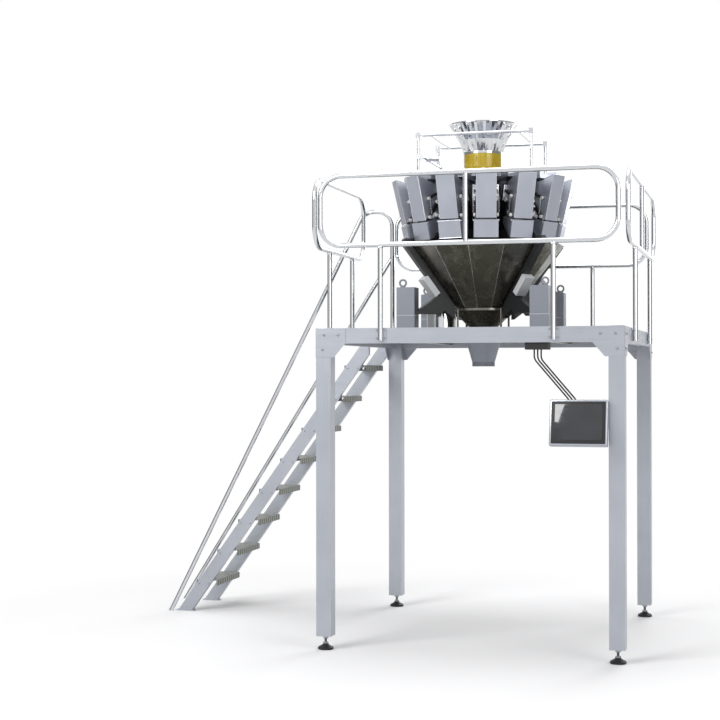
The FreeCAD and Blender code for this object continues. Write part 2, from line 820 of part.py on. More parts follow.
def collector():
    """Round funnel under the discharge cone, on four rods, its neck through the deck."""
    rim, neck, wall = collector_rim_radius, collector_neck_radius, collector_wall
    low = deck_height - collector_neck_drop
    shell = spun([
        (neck, low), (neck, collector_neck_height),
        (rim, collector_rim_height - collector_seat), (rim, collector_rim_height),
        (rim - wall, collector_rim_height), (rim - wall, chute_bottom),
        (rim - wall - collector_ledge, chute_bottom), (neck - wall, collector_neck_height),
        (neck - wall, low),
    ])
    rods = []
    for i in range(collector_leg_count):
        leg = rod(Vector(0, -rim, deck_height), Vector(0, -rim, collector_rim_height),
                  collector_leg_radius)
        rods.append(turned(leg, 360.0 / collector_leg_count * (i + 0.5)))
    shaft = Part.makeCylinder(rim - wall / 2, collector_rim_height - deck_height,
                              Vector(0, 0, deck_height))
    return fused([shell] + [leg.cut(shaft) for leg in rods])


def drop_funnel():
    """Funnel that hangs by its flange under the deck and ends in the discharge spout."""
    top = deck_height - deck_thickness
    low = top - funnel_flange_thickness
    rim, out, wall = funnel_rim_radius, outlet_radius, collector_wall
    spout_top = outlet_height + spout_length
    return spun([
        (out, outlet_height), (out, spout_top), (rim, low), (funnel_flange_radius, low),
        (funnel_flange_radius, top), (rim - wall, top), (rim - wall, low),
        (out - wall, spout_top), (out - wall, outlet_height),
    ])


# ---- infeed and its frame ----
def infeed_funnel():
    """Flared funnel above the collar."""
    rim, neck, wall = infeed_rim_radius, infeed_neck_radius, infeed_wall
    waist = infeed_waist_radius
    return spun([
        (neck, infeed_neck_height), (waist, infeed_waist_height), (rim, infeed_rim_height),
        (rim - wall, infeed_rim_height), (waist - wall, infeed_waist_height),
        (neck - wall, infeed_neck_height),
    ])


def infeed_collar():
    """Clear collar under the funnel's neck."""
    outer = infeed_neck_radius - infeed_wall / 2
    low = infeed_neck_height - collar_height
    tube = Part.makeCylinder(outer, collar_height, Vector(0, 0, low))
    return tube.cut(Part.makeCylinder(outer - collar_wall, collar_height, Vector(0, 0, low)))


def infeed_core():
    """Solid inside of the infeed funnel, to trim the studs that hold it."""
    return spun([(0, infeed_neck_height), (infeed_neck_radius, infeed_neck_height),
                 (infeed_waist_radius, infeed_waist_height),
                 (infeed_rim_radius, infeed_rim_height), (0, infeed_rim_height)])


def frame_arms():
    """Flat arms on the housing that reach the frame's posts between the hoppers."""
    arms = []
    half = frame_arm_width / 2
    for x in (-frame_half_width, frame_half_width):
        for y in (-frame_half_depth, frame_half_depth):
            reach = math.hypot(x, y)
            angle = math.degrees(math.atan2(x, -y))
            arm = box(-half, half, -reach - half, -vibrator_outer, body_top,
                      body_top + frame_arm_height)
            arms.append(turned(arm, angle))
    return arms


def infeed_frame():
    """Tube frame on four posts, with the two bars across it and the studs of the funnel."""
    w, d, z = frame_half_width, frame_half_depth, frame_height
    radius = frame_tube_radius
    low = body_top + frame_arm_height
    half = frame_clamp / 2
    parts = []
    for side in (-1, 1):
        parts.append(rod(Vector(-w, side * d, z), Vector(w, side * d, z), radius))
        bar = side * frame_carrier_offset
        parts.append(rod(Vector(bar, -d, z), Vector(bar, d, z), radius))
        stud = side * frame_stud_offset
        parts.append(rod(Vector(stud, -d, z), Vector(stud, d, z), radius * 0.6))
        for end in (-1, 1):
            parts.append(rod(Vector(side * w, end * d, low), Vector(side * w, end * d, z), radius))
            parts.append(box(side * w - half, side * w + half, end * d - half, end * d + half,
                             z - half, z + half))
    return fused(parts + frame_arms()).cut(infeed_core())


def level_sensor():
    """Product sensor on a bar between the left posts."""
    w, d, z = frame_half_width, frame_half_depth, sensor_height
    aside = frame_tube_radius * 2 + rail_gap
    half = frame_clamp / 2
    bar = rod(Vector(-w + aside, -d - half, z), Vector(-w + aside, d + half, z),
              frame_tube_radius * 0.8)
    body = rod(Vector(-w + aside, -d / 2, z), Vector(-w + aside + sensor_length, -d / 2, z),
               sensor_radius)
    clamps = []
    for y in (-d, d):
        block = box(-w - half, -w + aside + half, y - half, y + half, z - half, z + half)
        hole = rod(Vector(-w, y, z - 2 * half), Vector(-w, y, z + 2 * half), frame_tube_radius)
        clamps.append(block.cut(hole))
    return fused([bar, body] + clamps)


# ---- operator screen ----
def screen_tilted(shape):
    """Lean a piece back and put it at the screen's place."""
    copy = shape.copy()
    copy.rotate(Vector(0, 0, 0), Vector(1, 0, 0), -screen_lean)
    copy.translate(Vector(screen_center_x, -screen_front, screen_center_height))
    return copy


def screen_housing():
    """Flat case of the operator's screen, with rounded upright edges."""
    w, h, d = screen_width / 2, screen_height / 2, screen_depth / 2
    body = box(-w, w, -d, d, -h, h)
    upright = [e for e in body.Edges
               if abs(e.Vertexes[0].Point.z - e.Vertexes[1].Point.z) > screen_height / 2]
    return screen_tilted(body.makeFillet(screen_round, upright))


def screen_arm():
    """Elbow of tube from a flange on the front right post to the back of the case."""
    z = screen_center_height
    y = front + post_size / 2
    face = right - post_size
    flange = rod(Vector(face - screen_flange_thickness, y, z), Vector(face, y, z),
                 screen_flange_radius)
    elbow = bent_tube([Vector(face - screen_flange_thickness, y, z),
                       Vector(screen_center_x, y, z),
                       Vector(screen_center_x, -screen_front, z)],
                      screen_arm_radius * 2.5, screen_arm_radius)
    return fused([flange, elbow]).cut(screen_housing())


def junction_box():
    """Box under the front beam that the screen's cables come out of."""
    y0 = front + junction_overhang
    half = junction_length / 2
    return box(junction_place - half, junction_place + half, y0, y0 + junction_depth,
               beam_bottom - junction_height, beam_bottom)


def screen_cables():
    """Three cables from the junction box to the back of the screen."""
    top = beam_bottom - junction_height
    y0 = front + junction_overhang + junction_depth / 2
    end_z = screen_center_height + screen_height * 0.3
    cables = []
    for i in range(cable_count):
        shift = (i - (cable_count - 1) / 2) * cable_pitch
        start = Vector(junction_place + shift, y0, top)
        end_x = screen_center_x - screen_width * 0.12 + shift
        points = [start, start - Vector(0, 0, cable_drop),
                  Vector(end_x, y0 - cable_advance, end_z + cable_lead),
                  Vector(end_x, -screen_front, end_z)]
        cables.append(bent_tube(points, cable_bend, cable_radius).cut(screen_housing()))
    return cables


def drum():
    """Polished drum on the deck beside the collector."""
    body = Part.makeCylinder(drum_radius, drum_height, Vector(drum_x, drum_y, deck_height))
    lid = Part.makeCylinder(drum_radius * 1.04, drum_height / 12,
                            Vector(drum_x, drum_y, deck_height + drum_height))
    return fused([body, lid])


def parts():
    """Every node by name, each a list of solids."""
    nodes = {
        "platform_posts": [post(x, y) for x, y in corner_places()],
        "levelling_feet": [levelling_foot(x, y) for x, y in corner_places()],
        "deck_beams": deck_beams(),
        "deck": [deck()],
        "stair_stringers": [stringer(stair_near, left),
                            stringer(stair_far, left - corner_plate_thickness)],
        "stair_treads": treads(),
        "stair_handrails": handrails(),
        "base_pillars": [fused([pillar(a), lifting_eye(a)]) for a in leg_angles],
        "support_legs": [support_legs()],
        "leg_boxes": [leg_box(a) for a in leg_angles],
        "body_housing": [body_housing()],
        "drive_units": around(drive_unit(), head_count, first_head),
        "feeder_drives": around(feeder_drive(), head_count, first_head),
        "top_cone": [top_cone()],
        "feeder_pans": around(feeder_pan(), head_count, first_head),
        "feed_hoppers": around(feed_hopper(), head_count, first_head),
        "weigh_hoppers": around(weigh_hopper(), head_count, first_head),
        "discharge_cone": [discharge_cone()],
        "collector_funnel": [collector()],
        "drop_funnel": [drop_funnel()],
        "infeed_funnel": [infeed_funnel()],
        "infeed_collar": [infeed_collar()],
        "infeed_frame": [infeed_frame()],
        "level_sensor": [level_sensor()],
        "screen_housing": [screen_housing()],
        "screen_arm": [screen_arm()],
        "junction_box": [fused([junction_box()] + screen_cables())],
        "drum": [drum()],
    }
    for name, shape in guardrails().items():
        nodes[name] = [shape]
    for i, shape in enumerate(around(gate(), head_count, first_head)):
        nodes[f"gate_{i + 1:02d}"] = [shape]
    return nodes


os.makedirs("parts", exist_ok=True)
for name, solids in parts().items():
    shape = solids[0] if len(solids) == 1 else Part.makeCompound(solids)
    shape.exportStep(f"parts/{name}.step")
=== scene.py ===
"""Looks of a fourteen-head weigher on its work platform, laid out as a Blender add-on."""

import math

import bmesh
import bpy
from mathutils import Matrix, Vector


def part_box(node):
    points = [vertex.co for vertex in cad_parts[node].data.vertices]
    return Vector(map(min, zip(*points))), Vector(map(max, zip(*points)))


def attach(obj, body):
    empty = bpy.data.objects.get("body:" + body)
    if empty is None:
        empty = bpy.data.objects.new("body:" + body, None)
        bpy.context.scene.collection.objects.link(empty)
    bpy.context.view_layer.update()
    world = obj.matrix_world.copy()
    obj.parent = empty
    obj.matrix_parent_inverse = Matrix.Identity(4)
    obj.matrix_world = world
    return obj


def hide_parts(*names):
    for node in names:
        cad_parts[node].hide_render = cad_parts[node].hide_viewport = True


bl_info = {
    "name": "Multihead weigher on a work platform",
    "version": (1, 0, 0),
    "blender": (4, 5, 0),
    "location": "3D View > Sidebar > Weigher",
    "description": "Dresses a fourteen-head weigher and its stainless work platform",
    "category": "Object",
}

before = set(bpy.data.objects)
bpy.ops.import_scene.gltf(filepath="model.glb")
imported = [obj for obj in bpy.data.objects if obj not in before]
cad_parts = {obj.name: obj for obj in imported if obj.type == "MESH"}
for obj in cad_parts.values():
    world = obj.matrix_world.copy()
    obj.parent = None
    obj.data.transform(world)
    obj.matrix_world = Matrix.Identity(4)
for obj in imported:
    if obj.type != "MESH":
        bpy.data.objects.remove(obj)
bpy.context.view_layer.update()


def linear(text):
    """sRGB hex text as a linear colour with full alpha."""
    parts = [int(text[i:i + 2], 16) / 255 for i in (1, 3, 5)]
    return [c / 12.92 if c <= 0.04045 else ((c + 0.055) / 1.055) ** 2.4 for c in parts] + [1.0]


def length(name, default, text):
    """A length setting in metres."""
    return bpy.props.FloatProperty(name=name, default=default, min=0.0001, unit="LENGTH",
                                   precision=4, description=text)


def hue(name, text, use):
    """A colour setting, its default given as sRGB hex text."""
    return bpy.props.FloatVectorProperty(name=name, default=linear(text), size=4, min=0, max=1,
                                         subtype="COLOR", description=use)


# ---- settings ----
class WeigherFinishes(bpy.types.PropertyGroup):
    """Colours of the finishes."""

    sheet: hue("Brushed sheet", "#B4B8C0", "Posts, beams and stringers")
    tube: hue("Polished tube", "#D3D5D8", "Rails and round bars")
    blasted: hue("Blasted box", "#8E929B", "Pillars under the weigher")
    panel: hue("Hopper sheet", "#B3B7C2", "Hoppers and gates")
    chute: hue("Chute sheet", "#77746C", "Worn sheet of the discharge cone")
    # black coat: the drives' own colour; on the legs the black is painted shade, standing for the
    # shade under the gussets
    black_coat_and_leg_shade: hue("Black coat and painted shade", "#1D1E21", "Drives, and legs as painted shade")
    pale: hue("Pale coat", "#DADCE0", "Boxes on the legs")
    plate: hue("Patterned plate", "#6F7168", "Deck and treads")
    amber: hue("Amber plastic", "#E8CF3E", "Clear collar under the infeed")
    plastic: hue("Black plastic", "#141416", "Bezel, feet, cables and rollers")
    glass: hue("Screen glass", "#20252B", "Glass of the operator's screen")
    floor: hue("Floor", "#F4F4F5", "Studio floor")


class WeigherSizes(bpy.types.PropertyGroup):
    """Sizes of the weigher's own pieces."""

    heads: bpy.props.IntProperty(name="Heads", default=14, min=6, max=24,
                                 description="Hopper stacks round the weigher")
    tilt: bpy.props.FloatProperty(name="Lean", default=math.radians(13.06), unit="ROTATION",
                                  description="Outward lean of a hopper stack")
    foot_radius: length("Gate radius", 0.544, "Axis to the lower edge of a gate")
    foot_height: length("Gate height", 2.713, "Floor to the lower edge of a gate")
    gate_width: length("Gate width", 0.164, "Width of a gate")
    gate_height: length("Gate length", 0.118, "Height of a gate along the lean")
    panel_width: length("Panel width", 0.132, "Width of a feed hopper")
    panel_low: length("Panel low", 0.130, "Lower edge of a feed hopper along the lean")
    panel_top: length("Panel top", 0.438, "Upper edge of a feed hopper along the lean")
    stack_depth: length("Stack depth", 0.146, "Depth of a hopper")
    chute_radius_low: length("Chute low radius", 0.196, "Axis to a chute's lower edge")
    chute_radius_top: length("Chute top radius", 0.549, "Axis to a chute's upper edge")
    folds: bpy.props.IntProperty(name="Funnel folds", default=34, min=12, max=80,
                                 description="Upright folds of the infeed funnel")
    waist_radius: length("Funnel waist", 0.168, "Radius where the flare changes")
    waist_height: length("Funnel waist height", 3.433, "Height where the flare changes")


class PlatformSizes(bpy.types.PropertyGroup):
    """Sizes of the platform's fittings."""

    post: length("Post", 0.1, "Side of a square post")
    beam: length("Beam", 0.1, "Height of an edge beam")
    rail: length("Rail radius", 0.016, "Radius of a rail")
    bolt: length("Bolt", 0.017, "Width of a bolt head over its flats")
    small_bolt: length("Small bolt", 0.010, "Width of a small screw head")
    riser: length("Riser", 2.1 / 9, "Height of a stair riser")


# ---- shapes ----
def merged(form, other, matrix=None):
    """Adds one form to another, moved by a matrix."""
    if matrix is not None:
        other.transform(matrix)
    mesh = bpy.data.meshes.new("joined")
    other.to_mesh(mesh)
    other.free()
    form.from_mesh(mesh)
    bpy.data.meshes.remove(mesh)


def block(form, low, high, bevel=0.0, matrix=None, steps=2):
    """A box between two corners, its edges rounded."""
    low, high = Vector(low), Vector(high)
    made = bmesh.new()
    bmesh.ops.create_cube(made, size=1.0)
    made.transform(Matrix.Translation((low + high) / 2) @ Matrix.Diagonal((*(high - low), 1)))
    if bevel:
        bmesh.ops.bevel(made, geom=made.edges[:], offset=bevel, segments=steps, profile=0.5,
                        affect="EDGES")
    merged(form, made, matrix)


def lathe(form, profile, sides=32, matrix=None):
    """A turned shape from (radius, height) pairs; a radius of 0 closes a pole."""
    made = bmesh.new()
    rings = []
    for radius, height in profile:
        if radius < 1e-6:
            rings.append([made.verts.new((0, 0, height))])
            continue
        rings.append([made.verts.new((radius * math.cos(math.tau * i / sides),
                                      radius * math.sin(math.tau * i / sides), height))
                      for i in range(sides)])
    for a, b in zip(rings, rings[1:] + rings[:1]):
        for i in range(sides):
            j = (i + 1) % sides
            corners = [a[i % len(a)], a[j % len(a)], b[j % len(b)], b[i % len(b)]]
            unique = list(dict.fromkeys(corners))
            if len(unique) > 2:
                made.faces.new(unique)
    bmesh.ops.recalc_face_normals(made, faces=made.faces[:])
    merged(form, made, matrix)


def disc(form, radius, low, high, sides=24, edge=0.0, matrix=None):
    """A short turned piece with broken edges."""
    edge = min(edge, (high - low) / 3, radius / 3)
    lathe(form, [(0, low), (radius - edge, low), (radius, low + edge), (radius, high - edge),
                 (radius - edge, high), (0, high)], sides, matrix)


def prism(form, outline, low, high, matrix=None, bevel=0.0):
    """A flat outline of (x, y) pairs made thick along z."""
    made = bmesh.new()
    bottom = [made.verts.new((x, y, low)) for x, y in outline]
    top = [made.verts.new((x, y, high)) for x, y in outline]
    made.faces.new(bottom[::-1])
    made.faces.new(top)
    for i in range(len(outline)):
        j = (i + 1) % len(outline)
        made.faces.new((bottom[i], bottom[j], top[j], top[i]))
    bmesh.ops.recalc_face_normals(made, faces=made.faces[:])
    if bevel:
        bmesh.ops.bevel(made, geom=made.edges[:], offset=bevel, segments=1, profile=0.5,
                        affect="EDGES")
    merged(form, made, matrix)


def tube(form, points, radius, sides=12, matrix=None):
    """A round bar along points, its ends shut."""
    points = [Vector(p) for p in points]
    made = bmesh.new()
    rings, side = [], None
    for i, point in enumerate(points):
        ahead = points[min(i + 1, len(points) - 1)] - points[max(i - 1, 0)]
        ahead.normalize()
        if side is None:
            side = ahead.orthogonal().normalized()
        side = (side - ahead * side.dot(ahead)).normalized()
        other = ahead.cross(side)
        rings.append([made.verts.new(point + radius * (side * math.cos(math.tau * k / sides)
                                                       + other * math.sin(math.tau * k / sides)))
                      for k in range(sides)])
    for a, b in zip(rings, rings[1:]):
        for k in range(sides):
            j = (k + 1) % sides
            made.faces.new((a[k], a[j], b[j], b[k]))
    made.faces.new(rings[0][::-1])
    made.faces.new(rings[-1])
    bmesh.ops.recalc_face_normals(made, faces=made.faces[:])
    merged(form, made, matrix)


def spring(form, start, end, radius, wire, turns, matrix=None):
    """A wound spring between two points."""
    start, end = Vector(start), Vector(end)
    ahead = (end - start).normalized()
    side = ahead.orthogonal().normalized()
    other = ahead.cross(side)
    count = turns * 10
    points = [start.lerp(end, i / count) + radius * (side * math.cos(math.tau * i / 10)
                                                     + other * math.sin(math.tau * i / 10))
              for i in range(count + 1)]
    tube(form, points, wire, 6, matrix)


# ---- pieces ----
def mesh_of(form, name, smooth=30):
    """The form as a mesh with smooth faces that stay sharp over an angle."""
    mesh = bpy.data.meshes.new(name)
    form.to_mesh(mesh)
    form.free()
    mesh.shade_smooth()
    mesh.set_sharp_from_angle(angle=math.radians(smooth))
    return mesh


def piece(name, mesh, finish, body="root", replaces=()):
    """A finished piece that rides on a body."""
    if finish is not None:
        mesh.materials.clear()
        mesh.materials.append(finish)
    made = bpy.data.objects.new(name, mesh)
    bpy.context.scene.collection.objects.link(made)
    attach(made, body)
    if replaces:
        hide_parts(*replaces)
    return made


def paint(names, finish):
    """Gives CAD nodes a finish."""
    for name in names:
        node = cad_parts[name]
        if not node.material_slots:
            node.data.materials.append(finish)
        for slot in node.material_slots:
            slot.material = finish


def add(tree, kind, links=None, **settings):
    """A node with its settings; links gives each input a socket to follow or a value."""
    made = tree.nodes.new(kind)
    for name, value in settings.items():
        setattr(made, name, value)
    for key, source in (links or {}).items():
        if isinstance(source, bpy.types.NodeSocket):
            tree.links.new(source, made.inputs[key])
        else:
            made.inputs[key].default_value = source
    return made


def tree_with(name, inputs):
    """An empty geometry tree with its inputs, and the node that gives them."""
    tree = bpy.data.node_groups.new(name, "GeometryNodeTree")
    for label, kind in inputs:
        tree.interface.new_socket(label, in_out="INPUT", socket_type=kind)
    tree.interface.new_socket("Geometry", in_out="OUTPUT", socket_type="NodeSocketGeometry")
    return tree, add(tree, "NodeGroupInput")


def ending(tree, geometry, start):
    """Ends a tree in plain faces with their material."""
    real = add(tree, "GeometryNodeRealizeInstances", {"Geometry": geometry})
    done = add(tree, "GeometryNodeSetMaterial", {"Geometry": real.outputs["Geometry"],
                                                 "Material": start.outputs["Material"]})
    add(tree, "NodeGroupOutput", {"Geometry": done.outputs["Geometry"]})
    return tree


def ring_tree():
    """Repeats a shape round the upright axis."""
    tree, start = tree_with("Round the axis", [
        ("Geometry", "NodeSocketGeometry"), ("Count", "NodeSocketInt"),
        ("First angle", "NodeSocketFloat"), ("Material", "NodeSocketMaterial")])
    spots = add(tree, "GeometryNodePoints", {"Count": start.outputs["Count"]})
    step = add(tree, "ShaderNodeMath", {0: math.tau, 1: start.outputs["Count"]},
               operation="DIVIDE")
    index = add(tree, "GeometryNodeInputIndex")
    angle = add(tree, "ShaderNodeMath", {0: index.outputs[0], 1: step.outputs[0],
                                         2: start.outputs["First angle"]},
                operation="MULTIPLY_ADD")
    turn = add(tree, "ShaderNodeCombineXYZ", {"Z": angle.outputs[0]})
    put = add(tree, "GeometryNodeInstanceOnPoints", {
        "Points": spots.outputs["Points"], "Instance": start.outputs["Geometry"],
        "Rotation": turn.outputs["Vector"]})
    return ending(tree, put.outputs["Instances"], start)


def stamp_tree():
    """Sets a stamp on every point, its upright axis along the point's facing."""
    tree, start = tree_with("Stamp on points", [
        ("Geometry", "NodeSocketGeometry"), ("Stamp", "NodeSocketObject"),
        ("Size", "NodeSocketFloat"), ("Material", "NodeSocketMaterial")])
    stamp = add(tree, "GeometryNodeObjectInfo", {"Object": start.outputs["Stamp"]})
    facing = add(tree, "GeometryNodeInputNamedAttribute", {"Name": "facing"},
                 data_type="FLOAT_VECTOR")
    turn = add(tree, "FunctionNodeAlignRotationToVector", {"Vector": facing.outputs["Attribute"]},
               axis="Z")
    put = add(tree, "GeometryNodeInstanceOnPoints", {
        "Points": start.outputs["Geometry"], "Instance": stamp.outputs["Geometry"],
        "Rotation": turn.outputs["Rotation"], "Scale": start.outputs["Size"]})
    return ending(tree, put.outputs["Instances"], start)


def worked(mesh, tree, inputs):
    """The plain mesh that a geometry tree makes from a mesh."""
    source = bpy.data.objects.new("source", mesh)
    bpy.context.scene.collection.objects.link(source)
    modifier = source.modifiers.new(tree.name, "NODES")
    modifier.node_group = tree
    for item in tree.interface.items_tree:
        if item.in_out == "INPUT" and item.name in inputs:
            modifier[item.identifier] = inputs[item.name]
    graph = bpy.context.evaluated_depsgraph_get()
    made = bpy.data.meshes.new_from_object(source.evaluated_get(graph))
    bpy.data.objects.remove(source)
    return made


def ring(name, form, finish, count, first, smooth=30, replaces=()):
    """A form repeated round the weigher's axis as one piece."""
    mesh = worked(mesh_of(form, name, smooth), trees["ring"],
                  {"Count": count, "First angle": first, "Material": finish})
    mesh.name = name
    return piece(name, mesh, None, replaces=replaces)


def stamped(name, places, stamp, size, finish, body="root"):
    """A stamp set on places, each a point with the way it faces, as one piece."""
    mesh = bpy.data.meshes.new(name)
    mesh.from_pydata([p for p, _ in places], [], [])
    facing = mesh.attributes.new("facing", "FLOAT_VECTOR", "POINT")
    facing.data.foreach_set("vector", [c for _, way in places for c in way])
    made = worked(mesh, trees["stamp"], {"Stamp": stamps[stamp], "Size": size,
                                         "Material": finish})
    made.name = name
    return piece(name, made, None, body=body)


def stamp_forms():
    """Small fasteners, each one unit wide, that the trees repeat."""
    made = {}
    hexagon = [(0.5 / math.cos(math.pi / 6) * math.cos(math.pi / 3 * i),
                0.5 / math.cos(math.pi / 6) * math.sin(math.pi / 3 * i)) for i in range(6)]
    form = bmesh.new()
    disc(form, 0.74, -0.02, 0.12, 16, 0.03)
    prism(form, hexagon, 0.1, 0.52, bevel=0.05)
    made["bolt"] = form
    form = bmesh.new()
    lathe(form, [(0, 0.5), (0.20, 0.48), (0.42, 0.32), (0.52, 0.08), (0.52, -0.02), (0, -0.02)],
          12)
    made["dome"] = form
    form = bmesh.new()
    lathe(form, [(0, 0.22), (0.34, 0.22), (0.34, 0.45), (0.42, 0.5), (0.5, 0.42), (0.5, -0.02),
                 (0, -0.02)], 14)
    made["socket"] = form
    held = {}
    for name, form in made.items():
        held[name] = bpy.data.objects.new(name, mesh_of(form, name))
    return held


trees, stamps, finishes = {}, {}, {}


# ---- finishes ----
def finish_of(name, colour, metallic, roughness, **sockets):
    """A material's tree and shader, with the values that are the same all over."""
    made = bpy.data.materials.new(name)
    made.use_nodes = True
    tree = made.node_tree
    shader = tree.nodes["Principled BSDF"]
    shader.inputs["Base Color"].default_value = colour
    shader.inputs["Metallic"].default_value = metallic
    shader.inputs["Roughness"].default_value = roughness
    for label, value in sockets.items():
        shader.inputs[label.replace("_", " ")].default_value = value
    return made, tree, shader


def grain(tree, spacing, detail=2.0):
    """Noise whose size along x, y and z is given in metres."""
    place = add(tree, "ShaderNodeTexCoord")
    sized = add(tree, "ShaderNodeMapping", {"Vector": place.outputs["Object"],
                                            "Scale": [1 / s for s in spacing]})
    return add(tree, "ShaderNodeTexNoise", {"Vector": sized.outputs["Vector"], "Scale": 1.0,
                                            "Detail": detail, "Roughness": 0.55}).outputs["Fac"]


def spread(tree, source, low, high, start=0.3, end=0.7):
    """A value moved from one range to another."""
    return add(tree, "ShaderNodeMapRange", {"Value": source, "From Min": start, "From Max": end,
                                            "To Min": low, "To Max": high}).outputs["Result"]


def tinted(tree, shader, source, first, second):
    """Lets a pattern run the base colour between two colours."""
    mix = add(tree, "ShaderNodeMix", {0: source, 6: first, 7: second}, data_type="RGBA")
    tree.links.new(mix.outputs[2], shader.inputs["Base Color"])


def bumped(tree, shader, source, depth, strength=1.0):
    """Raises the surface by a pattern, depth in metres."""
    made = add(tree, "ShaderNodeBump", {"Height": source, "Distance": depth,
                                        "Strength": strength})
    tree.links.new(made.outputs["Normal"], shader.inputs["Normal"])


def darker(colour, share):
    """A colour brought down by a share."""
    return [c * share for c in colour[:3]] + [1.0]


def rolled_steel(name, colour, lines, metallic=0.9, low=0.26, high=0.46, marks=0.88):
    """Stainless sheet, cold rolled and then brushed: satin, with fine lines and faint clouds."""
    made, tree, shader = finish_of(name, colour, metallic, 0.38)
    brush = grain(tree, lines, 3.0)
    cloud = grain(tree, (0.35, 0.35, 0.35), 2.0)
    tree.links.new(spread(tree, brush, low, high), shader.inputs["Roughness"])
    both = add(tree, "ShaderNodeMath", {0: brush, 1: 0.35, 2: cloud}, operation="MULTIPLY_ADD")
    tinted(tree, shader, spread(tree, both.outputs[0], 0.0, 1.0, 0.45, 0.9),
           darker(colour, marks), colour)
    bumped(tree, shader, brush, 0.00004, 0.35)
    return made


def tube_steel(name, colour):
    """Stainless tube, mechanically polished: bright, with faint rings from the buffing belt."""
    made, tree, shader = finish_of(name, colour, 1.0, 0.12)
    buff = grain(tree, (0.02, 0.02, 0.02), 2.0)
    tree.links.new(spread(tree, buff, 0.09, 0.18), shader.inputs["Roughness"])
    bumped(tree, shader, buff, 0.00002, 0.2)
    return made


def blasted_steel(name, colour, grit=0.0015, metallic=0.75, level=0.5):
    """Stainless blasted with glass beads: an even soft grey without lines."""
    made, tree, shader = finish_of(name, colour, metallic, level)
    beads = grain(tree, (grit, grit, grit), 1.0)
    cloud = grain(tree, (0.18, 0.18, 0.3), 2.0)
    tree.links.new(spread(tree, cloud, level - 0.08, level + 0.08), shader.inputs["Roughness"])
    tinted(tree, shader, spread(tree, cloud, 0.0, 1.0), darker(colour, 0.9), colour)
    bumped(tree, shader, beads, 0.00005, 0.3)
    return made


def chute_steel(name, colour):
    """Thin stainless chute sheet, bright rolled and scoured by falling product."""
    made, tree, shader = finish_of(name, colour, 0.92, 0.33)
    place = add(tree, "ShaderNodeTexCoord")
    drag = add(tree, "ShaderNodeMapping", {"Vector": place.outputs["Object"],
                                           "Scale": (90, 90, 14)})
    cells = add(tree, "ShaderNodeTexVoronoi", {"Vector": drag.outputs["Vector"], "Scale": 1.0},
                feature="DISTANCE_TO_EDGE")
    scratch = spread(tree, cells.outputs["Distance"], 1.0, 0.0, 0.0, 0.05)
    patch = spread(tree, grain(tree, (0.09, 0.09, 0.12), 3.0), 0.0, 0.8, 0.48, 0.66)
    worn = add(tree, "ShaderNodeMath", {0: scratch, 1: patch}, operation="MULTIPLY")
    tinted(tree, shader, worn.outputs[0], colour, linear("#D8D6CF"))
    tree.links.new(spread(tree, patch, 0.25, 0.46, 0.0, 0.8), shader.inputs["Roughness"])
    bumped(tree, shader, worn.outputs[0], 0.00008, 0.5)
    return made


def plate_steel(name, colour):
    """Anti-slip plate rolled with raised lozenges that stand crosswise to each other."""
    made, tree, shader = finish_of(name, colour, 0.85, 0.42)
    place = add(tree, "ShaderNodeTexCoord")
    heights = []
    for turn, shift in ((math.pi / 4, 0.0), (-math.pi / 4, 0.5)):
        sized = add(tree, "ShaderNodeMapping", {
            "Vector": place.outputs["Object"], "Rotation": (0, 0, turn),
            "Scale": (1 / 0.034, 1 / 0.034, 0), "Location": (shift, 0.25 + shift, 0)})
        cell = add(tree, "ShaderNodeVectorMath", {0: sized.outputs["Vector"]},
                   operation="FRACTION")
        centred = add(tree, "ShaderNodeVectorMath", {0: cell.outputs[0], 1: (0.5, 0.5, 0)},
                      operation="SUBTRACT")
        slim = add(tree, "ShaderNodeVectorMath", {0: centred.outputs[0], 1: (2.4, 7.5, 0)},
                   operation="MULTIPLY")
        far = add(tree, "ShaderNodeVectorMath", {0: slim.outputs[0]}, operation="LENGTH")
        heights.append(spread(tree, far.outputs["Value"], 1.0, 0.0, 0.5, 1.0))
    both = add(tree, "ShaderNodeMath", {0: heights[0], 1: heights[1]}, operation="MAXIMUM")
    tinted(tree, shader, both.outputs[0], darker(colour, 0.7), linear("#B9BBB6"))
    bumped(tree, shader, both.outputs[0], 0.0012, 0.8)
    return made


def coated(name, colour, roughness=0.42, peel=0.004, **sockets):
    """Powder coat on metal, with the faint skin that the coat leaves when it melts."""
    made, tree, shader = finish_of(name, colour, 0.0, roughness, **sockets)
    skin = grain(tree, (peel, peel, peel), 2.0)
    tree.links.new(spread(tree, skin, roughness - 0.06, roughness + 0.06),
                   shader.inputs["Roughness"])
    dust = grain(tree, (0.12, 0.12, 0.12), 3.0)
    tinted(tree, shader, spread(tree, dust, 0.0, 1.0), darker(colour, 0.85), colour)
    bumped(tree, shader, skin, 0.0001, 0.25)
    return made


def clear_amber(name, colour):
    """Cast clear polyurethane sleeve, tinted amber, with a slight flow in it."""
    made, tree, shader = finish_of(name, colour, 0.0, 0.12, IOR=1.49, Transmission_Weight=0.55)
    flow = grain(tree, (0.03, 0.03, 0.09), 2.0)
    tree.links.new(spread(tree, flow, 0.08, 0.22), shader.inputs["Roughness"])
    tinted(tree, shader, spread(tree, flow, 0.0, 1.0), darker(colour, 0.82), colour)
    return made


def dark_glass(name, colour):
    """Toughened glass over a dark display: near black, very smooth, faintly smeared."""
    made, tree, shader = finish_of(name, colour, 0.0, 0.08, IOR=1.52, Coat_Weight=0.6)
    smear = grain(tree, (0.05, 0.05, 0.02), 3.0)
    tree.links.new(spread(tree, smear, 0.05, 0.16), shader.inputs["Roughness"])
    tinted(tree, shader, spread(tree, grain(tree, (0.12, 0.12, 0.1), 1.0), 0.0, 1.0),
           darker(colour, 0.55), colour)
    return made


